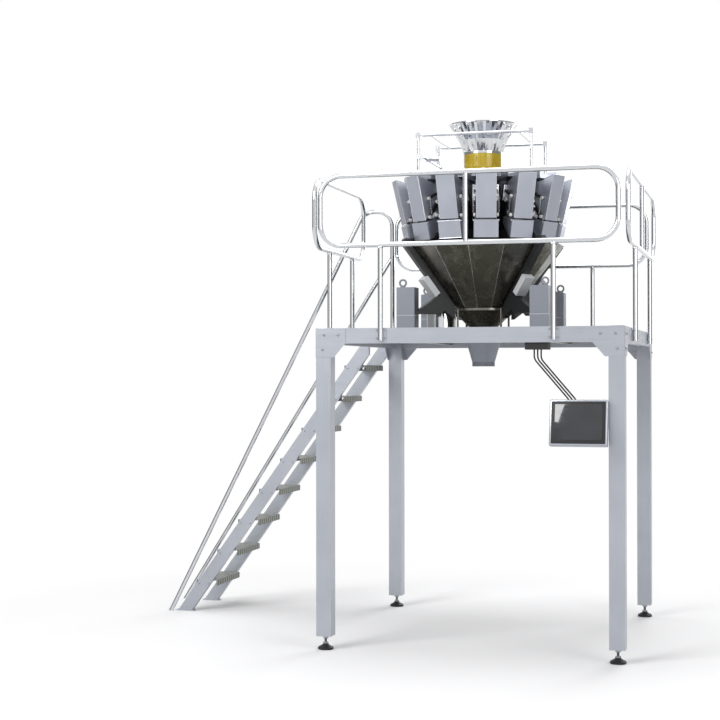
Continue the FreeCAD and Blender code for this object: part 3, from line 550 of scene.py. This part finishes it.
class FinishMaterials(bpy.types.Operator):
    """Make the finishes, the geometry trees and the stamps"""

    bl_idname = "weigher.finishes"
    bl_label = "Finishes"

    def execute(self, context):
        c = context.scene.weigher_finishes
        # brush lines are a third of a millimetre apart; drawn at 2 mm so that they show
        finishes.update({
            "post": rolled_steel("Brushed stainless posts", c.sheet, (0.002, 0.002, 0.35)),
            "beam": rolled_steel("Brushed stainless beams", c.sheet, (0.35, 0.35, 0.002)),
            "tube": tube_steel("Polished stainless tube", c.tube),
            "blasted": blasted_steel("Blasted stainless pillars", c.blasted),
            "hopper": blasted_steel("Blasted stainless hoppers", c.panel, metallic=0.82,
                                    level=0.40),
            "bright": rolled_steel("Bright rolled stainless", linear("#D6D8DB"),
                                   (0.2, 0.2, 0.003), 0.95, 0.16, 0.3),
            "chute": chute_steel("Scoured stainless chutes", c.chute),
            "plate": plate_steel("Patterned stainless plate", c.plate),
            # black coat: own colour of drives, heads and links; on the support legs it is painted
            # shade
            "black": coated("Black powder coat and painted leg shade", c.black_coat_and_leg_shade),
            "pale": coated("Pale grey powder coat", c.pale, 0.35),
            "plastic": coated("Moulded black nylon", c.plastic, 0.5, 0.002),
            "white": coated("Moulded white acetal", linear("#E7E7E3"), 0.32, 0.002),
            "amber": clear_amber("Clear amber polyurethane", c.amber),
            "glass": dark_glass("Dark display glass", c.glass),
            "mirror": rolled_steel("Mirror-rolled stainless", linear("#DADCDE"),
                                   (0.004, 0.004, 0.4), 1.0, 0.07, 0.14, 0.94),
            "bolt": blasted_steel("Stainless fasteners", linear("#A2A5AA"), 0.001, 0.95, 0.3),
        })
        trees.update({"ring": ring_tree(), "stamp": stamp_tree()})
        stamps.update(stamp_forms())
        return {"FINISHED"}


# ---- platform ----
def corner_posts():
    """Low corner and high corner of each of the four posts."""
    low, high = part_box("platform_posts")
    side = bpy.context.scene.platform_sizes.post
    return [(Vector((x, y, low.z)), Vector((x + side, y + side, high.z)))
            for x in (low.x, high.x - side) for y in (low.y, high.y - side)]


class PlatformFrame(bpy.types.Operator):
    """Finish the posts, beams and deck, and set their bolts"""

    bl_idname = "weigher.platform_frame"
    bl_label = "Platform frame"

    def execute(self, context):
        s = context.scene.platform_sizes
        paint(["platform_posts"], finishes["post"])
        paint(["deck_beams"], finishes["beam"])
        paint(["deck"], finishes["plate"])
        low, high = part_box("deck_beams")
        places = []
        for a, b in corner_posts():
            for axis in (0, 1):
                other = 1 - axis
                outer = low[axis] if a[axis] < 0 else high[axis]
                way = Vector((0, 0, 0))
                way[axis] = -1 if a[axis] < 0 else 1
                inward = 1 if a[other] < 0 else -1
                corner = a[other] if a[other] < 0 else b[other]
                for along, drop in ((0.055, 0.045), (0.15, 0.045), (0.045, 0.14)):
                    spot = Vector((0, 0, high.z - drop))
                    spot[axis] = outer
                    spot[other] = corner + inward * along
                    places.append((spot, way))
        stamped("corner_bolts", places, "dome", s.bolt, finishes["bolt"])
        form = bmesh.new()
        for a, b in corner_posts():
            block(form, (a.x + 0.004, a.y + 0.004, b.z - 0.002),
                  (b.x - 0.004, b.y - 0.004, b.z + 0.003), 0.001)
        piece("post_caps", mesh_of(form, "post_caps"), finishes["beam"])
        return {"FINISHED"}


class LevellingFeet(bpy.types.Operator):
    """Turned levelling feet with ribbed pads, threaded stems and nuts"""

    bl_idname = "weigher.levelling_feet"
    bl_label = "Levelling feet"

    def execute(self, context):
        low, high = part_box("levelling_feet")
        radius, top = 0.052, high.z
        pads, stems = bmesh.new(), bmesh.new()
        profile = [(0, 0), (radius - 0.003, 0), (radius, 0.003), (radius, 0.011),
                   (radius - 0.004, 0.014), (0.022, 0.030), (0.018, 0.036), (0, 0.036)]
        thread = [(0, 0.034)]
        z = 0.034
        while z < top - 0.002:
            thread += [(0.0078, z), (0.0092, z + 0.001)]
            z += 0.002
        thread += [(0.0078, top - 0.001), (0, top - 0.001)]
        hexagon = [(0.0185 * math.cos(math.pi / 3 * i), 0.0185 * math.sin(math.pi / 3 * i))
                   for i in range(6)]
        for x in (low.x + radius, high.x - radius):
            for y in (low.y + radius, high.y - radius):
                spot = Matrix.Translation((x, y, 0))
                lathe(pads, profile, 40, spot)
                for i in range(12):
                    turn = spot @ Matrix.Rotation(math.tau * i / 12, 4, "Z")
                    prism(pads, [(0.020, -0.0015), (0.047, -0.0015), (0.047, 0.0015),
                                 (0.020, 0.0015)], 0.012, 0.0185, turn)
                lathe(stems, thread, 14, spot)
                prism(stems, hexagon, top - 0.016, top - 0.002, spot, 0.0008)
                prism(stems, hexagon, 0.037, 0.047, spot, 0.0008)
        piece("foot_pads", mesh_of(pads, "foot_pads"), finishes["plastic"],
              replaces=["levelling_feet"])
        piece("foot_stems", mesh_of(stems, "foot_stems"), finishes["bolt"])
        return {"FINISHED"}


class Guardrails(bpy.types.Operator):
    """Polish the rails and set the pads' bolts and weld rings"""

    bl_idname = "weigher.guardrails"
    bl_label = "Guardrails"

    def execute(self, context):
        s = context.scene.platform_sizes
        rails = ["front_guardrail", "back_guardrail", "left_guardrail", "right_guardrail"]
        paint(rails + ["stair_handrails"], finishes["tube"])
        low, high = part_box("deck_beams")
        face = {"front": low.y, "back": high.y, "left": low.x, "right": high.x}
        uprights = {"front": (-0.48, 0.64), "back": (-0.48, 0.64), "left": (-0.62, -0.06),
                    "right": (-0.50, 0.61)}
        bolts, rings = [], bmesh.new()
        top = {name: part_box(name + "_guardrail")[1].z for name in face}
        for side, spots in uprights.items():
            along_x = side in ("front", "back")
            out = -1 if side in ("front", "left") else 1
            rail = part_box(side + "_guardrail")
            centre = (rail[0] + rail[1]) / 2
            for u in spots:
                for du in (-0.027, 0.027):
                    for z in (2.032, 2.084):
                        spot = Vector((u + du, face[side], z) if along_x
                                      else (face[side], u + du, z))
                        way = Vector((0, out, 0) if along_x else (out, 0, 0))
                        bolts.append((spot - way * 0.001, way))
                place = (u, centre.y, 0) if along_x else (centre.x, u, 0)
                knot = top[side] - 0.016 - 0.453
                lathe(rings, [(s.rail + 0.0002, knot - 0.024), (s.rail + 0.003, knot - 0.018),
                              (s.rail + 0.002, knot - 0.012), (s.rail - 0.002, knot - 0.011),
                              (s.rail - 0.002, knot - 0.024)], 20, Matrix.Translation(place))
        stamped("rail_pad_bolts", bolts, "bolt", s.small_bolt * 1.1, finishes["bolt"])
        piece("rail_weld_rings", mesh_of(rings, "rail_weld_rings"), finishes["bright"])
        return {"FINISHED"}


class Stair(bpy.types.Operator):
    """Finish the stair, with its tread bolts, nosings and foot bolts"""

    bl_idname = "weigher.stair"
    bl_label = "Stair"

    def execute(self, context):
        s = context.scene.platform_sizes
        paint(["stair_stringers"], finishes["beam"])
        paint(["stair_treads"], finishes["plate"])
        low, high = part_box("stair_stringers")
        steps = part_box("stair_treads")
        treads = 8
        tread_depth = 0.165
        bolt_drop = 0.024
        run = (steps[1].x - steps[0].x - tread_depth) / (treads - 1)
        bolts = []
        for i in range(treads):
            z = s.riser * (i + 1) - bolt_drop
            x = steps[0].x + tread_depth / 2 + run * i
            for dx in (-0.045, 0.03):
                bolts.append((Vector((x + dx, low.y, z)), Vector((0, -1, 0))))
                bolts.append((Vector((x + dx, high.y, z)), Vector((0, 1, 0))))
        stamped("tread_bolts", bolts, "dome", s.small_bolt * 1.2, finishes["bolt"])
        noses = bmesh.new()
        for i in range(treads):
            z = s.riser * (i + 1)
            x = steps[0].x + run * i
            block(noses, (x - 0.0002, steps[0].y + 0.002, z - 0.014),
                  (x + 0.022, steps[1].y - 0.002, z + 0.0012), 0.0008)
        piece("tread_nosings", mesh_of(noses, "tread_nosings"), finishes["beam"])
        anchors = [(Vector((low.x + dx, y, 0.008)), Vector((0, 0, 1)))
                   for dx in (0.025, 0.13) for y in (low.y + 0.02, high.y - 0.02)]
        stamped("stair_anchor_bolts", anchors, "bolt", s.bolt * 0.8, finishes["bolt"])
        return {"FINISHED"}


# ---- weigher ----
def stack_matrix(angle=0.0):
    """From a stack's own frame (across, inward, up the lean) to the part."""
    s = bpy.context.scene.weigher_sizes
    return (Matrix.Rotation(angle, 4, "Z")
            @ Matrix.Translation((0, -s.foot_radius, s.foot_height))
            @ Matrix.Rotation(s.tilt, 4, "X"))


def head_angle(index):
    """Angle of a head round the axis, counted from half a step."""
    count = bpy.context.scene.weigher_sizes.heads
    return math.tau / count * (index + 0.5)


def ringed(name, form, finish, smooth=30):
    """A form repeated at every head."""
    count = bpy.context.scene.weigher_sizes.heads
    return ring(name, form, finish, count, head_angle(0), smooth)


class Pillars(bpy.types.Operator):
    """Finish the four pillars and set their seams, plates and screws"""

    bl_idname = "weigher.pillars"
    bl_label = "Base pillars"

    def execute(self, context):
        s = context.scene.platform_sizes
        paint(["base_pillars"], finishes["blasted"])
        low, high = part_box("base_pillars")
        half = 0.063
        plate_lip, plate_height = 0.012, 0.008
        seam_lip, seam_low, seam_high = 0.0012, 0.10, 0.103
        bolt_outset = 0.003
        plates, bolts = bmesh.new(), []
        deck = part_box("deck")[1].z
        for x in (low.x + half, high.x - half):
            for y in (low.y + half, high.y - half):
                block(plates, (x - half - plate_lip, y - half - plate_lip, deck),
                      (x + half + plate_lip, y + half + plate_lip, deck + plate_height), 0.0015)
                block(plates, (x - half - seam_lip, y - half - seam_lip, deck + seam_low),
                      (x + half + seam_lip, y + half + seam_lip, deck + seam_high))
                for dx in (-1, 1):
                    for dy in (-1, 1):
                        bolts.append((Vector((x + dx * (half + bolt_outset),
                                              y + dy * (half + bolt_outset),
                                              deck + plate_height)), Vector((0, 0, 1))))
        piece("pillar_plates", mesh_of(plates, "pillar_plates"), finishes["bright"])
        stamped("pillar_bolts", bolts, "bolt", s.small_bolt, finishes["bolt"])
        return {"FINISHED"}


class Legs(bpy.types.Operator):
    """Finish the support legs, and the boxes clamped on them"""

    bl_idname = "weigher.legs"
    bl_label = "Support legs"

    def execute(self, context):
        # the black coat on the legs is painted shade: it stands for the shade under the gussets
        paint(["support_legs"], finishes["black"])
        paint(["leg_boxes"], finishes["pale"])
        return {"FINISHED"}


class Body(bpy.types.Operator):
    """Finish the housing, drives, feeders and the spreading cone"""

    bl_idname = "weigher.body"
    bl_label = "Housing and drives"

    def execute(self, context):
        size = context.scene.platform_sizes
        paint(["body_housing", "drive_units"], finishes["black"])
        paint(["feeder_drives"], finishes["blasted"])
        paint(["feeder_pans", "top_cone"], finishes["hopper"])
        place = stack_matrix()
        covers = bmesh.new()
        block(covers, (-0.088, 0.152, 0.228), (0.088, 0.160, 0.334), 0.003, place)
        block(covers, (-0.045, 0.150, 0.120), (0.045, 0.160, 0.205), 0.003, place)
        ringed("drive_covers", covers, finishes["bright"])
        cases = bmesh.new()
        block(cases, (-0.050, 0.160, 0.212), (0.050, 0.252, 0.332), 0.008, place)
        ringed("drive_heads", cases, finishes["black"])
        screws = bmesh.new()
        for x in (-0.078, 0.078):
            for z in (0.240, 0.322):
                disc(screws, 0.005, 0.0, 0.004, 10, 0.001,
                     place @ Matrix.Translation((x, 0.152, z)) @ Matrix.Rotation(math.pi / 2, 4, "X"))
        ringed("cover_screws", screws, finishes["bolt"])
        return {"FINISHED"}


class Hoppers(bpy.types.Operator):
    """Finish the feed and weigh hoppers, with hems, hooks and hangers"""

    bl_idname = "weigher.hoppers"
    bl_label = "Hoppers"

    def execute(self, context):
        s = context.scene.weigher_sizes
        paint(["feed_hoppers", "weigh_hoppers"], finishes["hopper"])
        place = stack_matrix()
        half, face = s.panel_width / 2, 0.004
        hems = bmesh.new()
        # folded edges of a feed hopper's face: top and both sides
        tube(hems, [(-half, face + 0.001, s.panel_top), (half, face + 0.001, s.panel_top)],
             0.0022, 8, place)
        for x in (-half, half):
            tube(hems, [(x, face + 0.001, s.panel_low), (x, face + 0.001, s.panel_top)], 0.0020,
                 8, place)
            tube(hems, [(x, face, s.panel_top), (x, s.stack_depth, 0.356)], 0.0020, 8, place)
        ringed("hopper_hems", hems, finishes["bright"])
        links = bmesh.new()
        for side in (-1, 1):
            x = side * (half + 0.012)
            turned = place @ Matrix(((0, 0, 1, x), (1, 0, 0, 0), (0, 1, 0, 0), (0, 0, 0, 1)))
            prism(links, [(0.030, 0.150), (0.046, 0.142), (0.118, 0.205), (0.132, 0.232),
                          (0.118, 0.240), (0.098, 0.222)], -0.003, 0.003, turned)
            prism(links, [(0.060, 0.262), (0.150, 0.288), (0.150, 0.304), (0.056, 0.280)],
                  -0.003, 0.003, turned)
        ringed("hopper_links", links, finishes["black"])
        rollers = bmesh.new()
        for side in (-1, 1):
            x = side * (half + 0.012)
            for y, z, r in ((0.038, 0.146, 0.012), (0.125, 0.236, 0.014), (0.058, 0.271, 0.011)):
                turned = (place @ Matrix.Translation((x, y, z))
                          @ Matrix.Rotation(math.pi / 2, 4, "Y"))
                disc(rollers, r, -0.007, 0.007, 16, 0.0015, turned)
        ringed("hopper_rollers", rollers, finishes["white"])
        springs = bmesh.new()
        for side in (-1, 1):
            x = side * (half + 0.020)
            spring(springs, (x, 0.050, 0.160), (x, 0.060, 0.262), 0.0055, 0.0011, 9, place)
        ringed("hopper_springs", springs, finishes["bright"])
        return {"FINISHED"}


class Gates(bpy.types.Operator):
    """Finish the gates, each with its lip, rib and rollers on its own body"""

    bl_idname = "weigher.gates"
    bl_label = "Gates"

    def execute(self, context):
        s = context.scene.weigher_sizes
        half = s.gate_width / 2
        for index in range(s.heads):
            name = f"gate_{index + 1:02d}"
            paint([name], finishes["hopper"])
            place = stack_matrix(head_angle(index))
            form = bmesh.new()
            tube(form, [(-half, -0.001, 0.001), (half, -0.001, 0.001)], 0.002, 8, place)
            tube(form, [(-half, 0.000, s.gate_height), (half, 0.000, s.gate_height)], 0.002, 8,
                 place)
            for side in (-1, 1):
                turned = (place @ Matrix.Translation((side * (half + 0.002), 0.012, 0.112))
                          @ Matrix.Rotation(math.pi / 2, 4, "Y"))
                disc(form, 0.007, -0.0035, 0.0035, 14, 0.001, turned)
            piece(f"gate_trim_{index + 1:02d}", mesh_of(form, "gate_trim"), finishes["bright"],
                  body=name)
        return {"FINISHED"}


class DischargeCone(bpy.types.Operator):
    """Finish the chutes and the collector, with seams and rim"""

    bl_idname = "weigher.discharge_cone"
    bl_label = "Discharge cone"

    def execute(self, context):
        s = context.scene.weigher_sizes
        paint(["discharge_cone"], finishes["chute"])
        paint(["collector_funnel"], finishes["chute"])
        paint(["drop_funnel"], finishes["blasted"])
        paint(["drum"], finishes["mirror"])
        low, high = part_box("discharge_cone")
        step = math.pi / s.heads
        reach = 1 / math.cos(step)
        a = Vector((0, -s.chute_radius_low * reach, low.z))
        b = Vector((0, -s.chute_radius_top * reach, high.z))
        seams = bmesh.new()
        tube(seams, [a, b], 0.0028, 6)
        ring("chute_seams", seams, finishes["bright"], s.heads, 0.0)
        rim = bmesh.new()
        half = s.chute_radius_top * math.tan(step)
        tube(rim, [(-half, -s.chute_radius_top, high.z), (half, -s.chute_radius_top, high.z)],
             0.004, 8)
        ring("chute_rim", rim, finishes["bright"], s.heads, step)
        return {"FINISHED"}


class Infeed(bpy.types.Operator):
    """Folded infeed funnel over its clear collar, with the tube frame that carries them"""

    bl_idname = "weigher.infeed"
    bl_label = "Infeed"

    def execute(self, context):
        s = context.scene.weigher_sizes
        paint(["infeed_collar"], finishes["amber"])
        paint(["infeed_frame"], finishes["tube"])
        paint(["level_sensor"], finishes["bright"])
        low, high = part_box("infeed_funnel")
        neck, rim = 0.136, high.x
        profile = [(neck, low.z), (s.waist_radius, s.waist_height), (rim, high.z)]
        form = bmesh.new()
        sides = s.folds * 2
        rows = []
        for wall in (0.0, 0.003):
            for level, (radius, z) in enumerate(profile):
                depth = (0.004, 0.006, 0.001)[level]
                rows.append([form.verts.new((
                    (radius - wall - depth * (i % 2)) * math.cos(math.tau * i / sides),
                    (radius - wall - depth * (i % 2)) * math.sin(math.tau * i / sides), z))
                    for i in range(sides)])
        order = [0, 1, 2, 5, 4, 3, 0]
        for k, m in zip(order, order[1:]):
            for i in range(sides):
                j = (i + 1) % sides
                form.faces.new((rows[k][i], rows[k][j], rows[m][j], rows[m][i]))
        bmesh.ops.recalc_face_normals(form, faces=form.faces[:])
        lathe(form, [(rim - 0.004, high.z - 0.006), (rim, high.z - 0.005), (rim, high.z),
                     (rim - 0.004, high.z)], 68)
        lathe(form, [(neck - 0.004, low.z - 0.014), (neck + 0.001, low.z - 0.012),
                     (neck + 0.001, low.z + 0.004), (neck - 0.004, low.z + 0.004)], 68)
        piece("folded_funnel", mesh_of(form, "folded_funnel", 8), finishes["mirror"],
              replaces=["infeed_funnel"])
        return {"FINISHED"}


class OperatorScreen(bpy.types.Operator):
    """Operator's screen in its case, on its arm, with the junction box and its cables"""

    bl_idname = "weigher.operator_screen"
    bl_label = "Operator's screen"

    def execute(self, context):
        paint(["screen_arm"], finishes["tube"])
        paint(["junction_box"], finishes["plastic"])
        low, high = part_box("screen_housing")
        centre = (low + high) / 2
        lean = Matrix.Rotation(math.radians(-12.0), 4, "X")
        place = Matrix.Translation(centre) @ lean
        w, h, d = 0.18, 0.145, 0.031
        case, bezel, glass = bmesh.new(), bmesh.new(), bmesh.new()
        block(case, (-w, -d + 0.004, -h), (w, d, h), 0.007, place, 3)
        block(case, (-w + 0.05, d - 0.002, -h + 0.05), (w - 0.05, d + 0.0, h - 0.05), 0.0, place)
        block(bezel, (-w + 0.012, -d, -h + 0.012), (w - 0.012, -d + 0.008, h - 0.012), 0.003,
              place, 3)
        block(glass, (-w + 0.034, -d - 0.0006, -h + 0.036), (w - 0.034, -d + 0.002, h - 0.03),
              0.0005, place)
        piece("screen_case", mesh_of(case, "screen_case"), finishes["beam"],
              replaces=["screen_housing"])
        piece("screen_bezel", mesh_of(bezel, "screen_bezel"), finishes["plastic"])
        piece("screen_glass", mesh_of(glass, "screen_glass"), finishes["glass"])
        return {"FINISHED"}


# ---- studio ----
class Studio(bpy.types.Operator):
    """Pale floor, soft lamps, white surround and the camera"""

    bl_idname = "weigher.studio"
    bl_label = "Studio"

    def execute(self, context):
        scene = context.scene
        scene.view_settings.view_transform = "Standard"
        self.surround(scene)
        self.floor(scene)
        for name, where, aim, size, power in (
                ("Key", (-4.5, -7.0, 6.5), (0, 0, 2.2), 4.0, 430),
                ("Fill", (6.0, -5.5, 4.0), (0, 0, 2.0), 4.0, 170),
                ("Top", (0.0, 0.5, 7.5), (0, 0, 2.0), 4.0, 200),
                ("Back", (2.0, 7.0, 5.0), (0, 0, 2.0), 4.0, 220)):
            lamp = bpy.data.lights.new(name, "AREA")
            lamp.size, lamp.energy = size, power
            made = bpy.data.objects.new(name, lamp)
            made.location = where
            made.rotation_euler = (Vector(aim) - Vector(where)).to_track_quat("-Z", "Y").to_euler()
            scene.collection.objects.link(made)
        lens = bpy.data.cameras.new("Camera")
        lens.lens, lens.sensor_width = 75.66, 36.0
        lens.clip_start, lens.clip_end = 0.1, 200
        camera = bpy.data.objects.new("Camera", lens)
        camera.location = (2.018, -10.463, 1.804)
        camera.rotation_euler = (math.pi / 2 + 0.009, 0.001, 0.272)
        scene.collection.objects.link(camera)
        scene.camera = camera
        return {"FINISHED"}

    def surround(self, scene):
        """White surround for the eye and for mirrors, dimmer for the light that it gives."""
        world = bpy.data.worlds.new("Studio")
        scene.world = world
        world.use_nodes = True
        tree = world.node_tree
        tree.nodes.clear()
        ray = add(tree, "ShaderNodeLightPath")
        place = add(tree, "ShaderNodeTexCoord")
        axes = add(tree, "ShaderNodeSeparateXYZ", {0: place.outputs["Generated"]})
        across = add(tree, "ShaderNodeMath", {0: axes.outputs[0]}, operation="ABSOLUTE")
        wall = spread(tree, across.outputs[0], 0.95, 0.28, 0.35, 0.85)
        up = spread(tree, axes.outputs[2], 0.0, 0.7, 0.2, 0.7)
        gloss = add(tree, "ShaderNodeMath", {0: wall, 1: up}, operation="ADD", use_clamp=True)
        seen = add(tree, "ShaderNodeMath", {0: ray.outputs["Is Camera Ray"],
                                            1: ray.outputs["Is Transmission Ray"]},
                   operation="MAXIMUM")
        first = add(tree, "ShaderNodeMix", {0: ray.outputs["Is Glossy Ray"], 2: 0.42,
                                            3: gloss.outputs[0]}, data_type="FLOAT")
        last = add(tree, "ShaderNodeMix", {0: seen.outputs[0], 2: first.outputs[0], 3: 1.0},
                   data_type="FLOAT")
        light = add(tree, "ShaderNodeBackground", {"Color": linear("#FFFFFF"),
                                                   "Strength": last.outputs[0]})
        add(tree, "ShaderNodeOutputWorld", {"Surface": light.outputs[0]})

    def floor(self, scene):
        """Pale floor that stays white for the eye except where a shadow lies."""
        form = bmesh.new()
        bmesh.ops.create_grid(form, x_segments=1, y_segments=1, size=40)
        mesh = bpy.data.meshes.new("floor")
        form.to_mesh(mesh)
        form.free()
        made, tree, shader = finish_of("Matt studio floor", scene.weigher_finishes.floor, 0.0,
                                       0.85)
        bumped(tree, shader, grain(tree, (0.02, 0.02, 0.02)), 0.0001, 0.2)
        # past the object the floor turns into the white of the surround, for eye and mirrors
        place = add(tree, "ShaderNodeTexCoord")
        away = add(tree, "ShaderNodeVectorMath", {0: place.outputs["Object"]}, operation="LENGTH")
        far = spread(tree, away.outputs["Value"], 0.0, 1.0, 2.2, 4.2)
        ray = add(tree, "ShaderNodeLightPath")
        seen = add(tree, "ShaderNodeMath", {0: ray.outputs["Is Camera Ray"],
                                            1: ray.outputs["Is Glossy Ray"]},
                   operation="MAXIMUM")
        share = add(tree, "ShaderNodeMath", {0: far, 1: seen.outputs[0]}, operation="MULTIPLY")
        white = add(tree, "ShaderNodeEmission", {"Color": linear("#FFFFFF"), "Strength": 1.0})
        both = add(tree, "ShaderNodeMixShader", {0: share.outputs[0], 1: shader.outputs[0],
                                                 2: white.outputs[0]})
        tree.links.new(both.outputs[0], tree.nodes["Material Output"].inputs["Surface"])
        mesh.materials.append(made)
        ground = bpy.data.objects.new("floor", mesh)
        ground.location = (0, 0, -0.001)
        scene.collection.objects.link(ground)


steps = (FinishMaterials, PlatformFrame, LevellingFeet, Guardrails, Stair, Pillars, Legs, Body,
         Hoppers, Gates, DischargeCone, Infeed, OperatorScreen, Studio)


class WeigherPanel(bpy.types.Panel):
    """Lists the settings and the steps"""

    bl_label = "Multihead weigher"
    bl_idname = "VIEW3D_PT_weigher"
    bl_space_type = "VIEW_3D"
    bl_region_type = "UI"
    bl_category = "Weigher"

    def draw(self, context):
        for group in ("weigher_sizes", "platform_sizes", "weigher_finishes"):
            held = getattr(context.scene, group)
            box = self.layout.box()
            for name in held.__annotations__:
                box.prop(held, name)
        for step in steps:
            self.layout.operator(step.bl_idname)


groups = {"weigher_finishes": WeigherFinishes, "weigher_sizes": WeigherSizes,
          "platform_sizes": PlatformSizes}


def register():
    for kind in (*groups.values(), *steps, WeigherPanel):
        bpy.utils.register_class(kind)
    for name, kind in groups.items():
        setattr(bpy.types.Scene, name, bpy.props.PointerProperty(type=kind))


def unregister():
    for name in groups:
        delattr(bpy.types.Scene, name)
    for kind in reversed((*groups.values(), *steps, WeigherPanel)):
        bpy.utils.unregister_class(kind)


def main():
    """Registers the add-on, runs every step in order and removes the stamp objects."""
    register()
    for step in steps:
        area, name = step.bl_idname.split(".")
        getattr(getattr(bpy.ops, area), name)()
    for stamp in stamps.values():
        bpy.data.objects.remove(stamp)


if __name__ == "__main__":
    main()
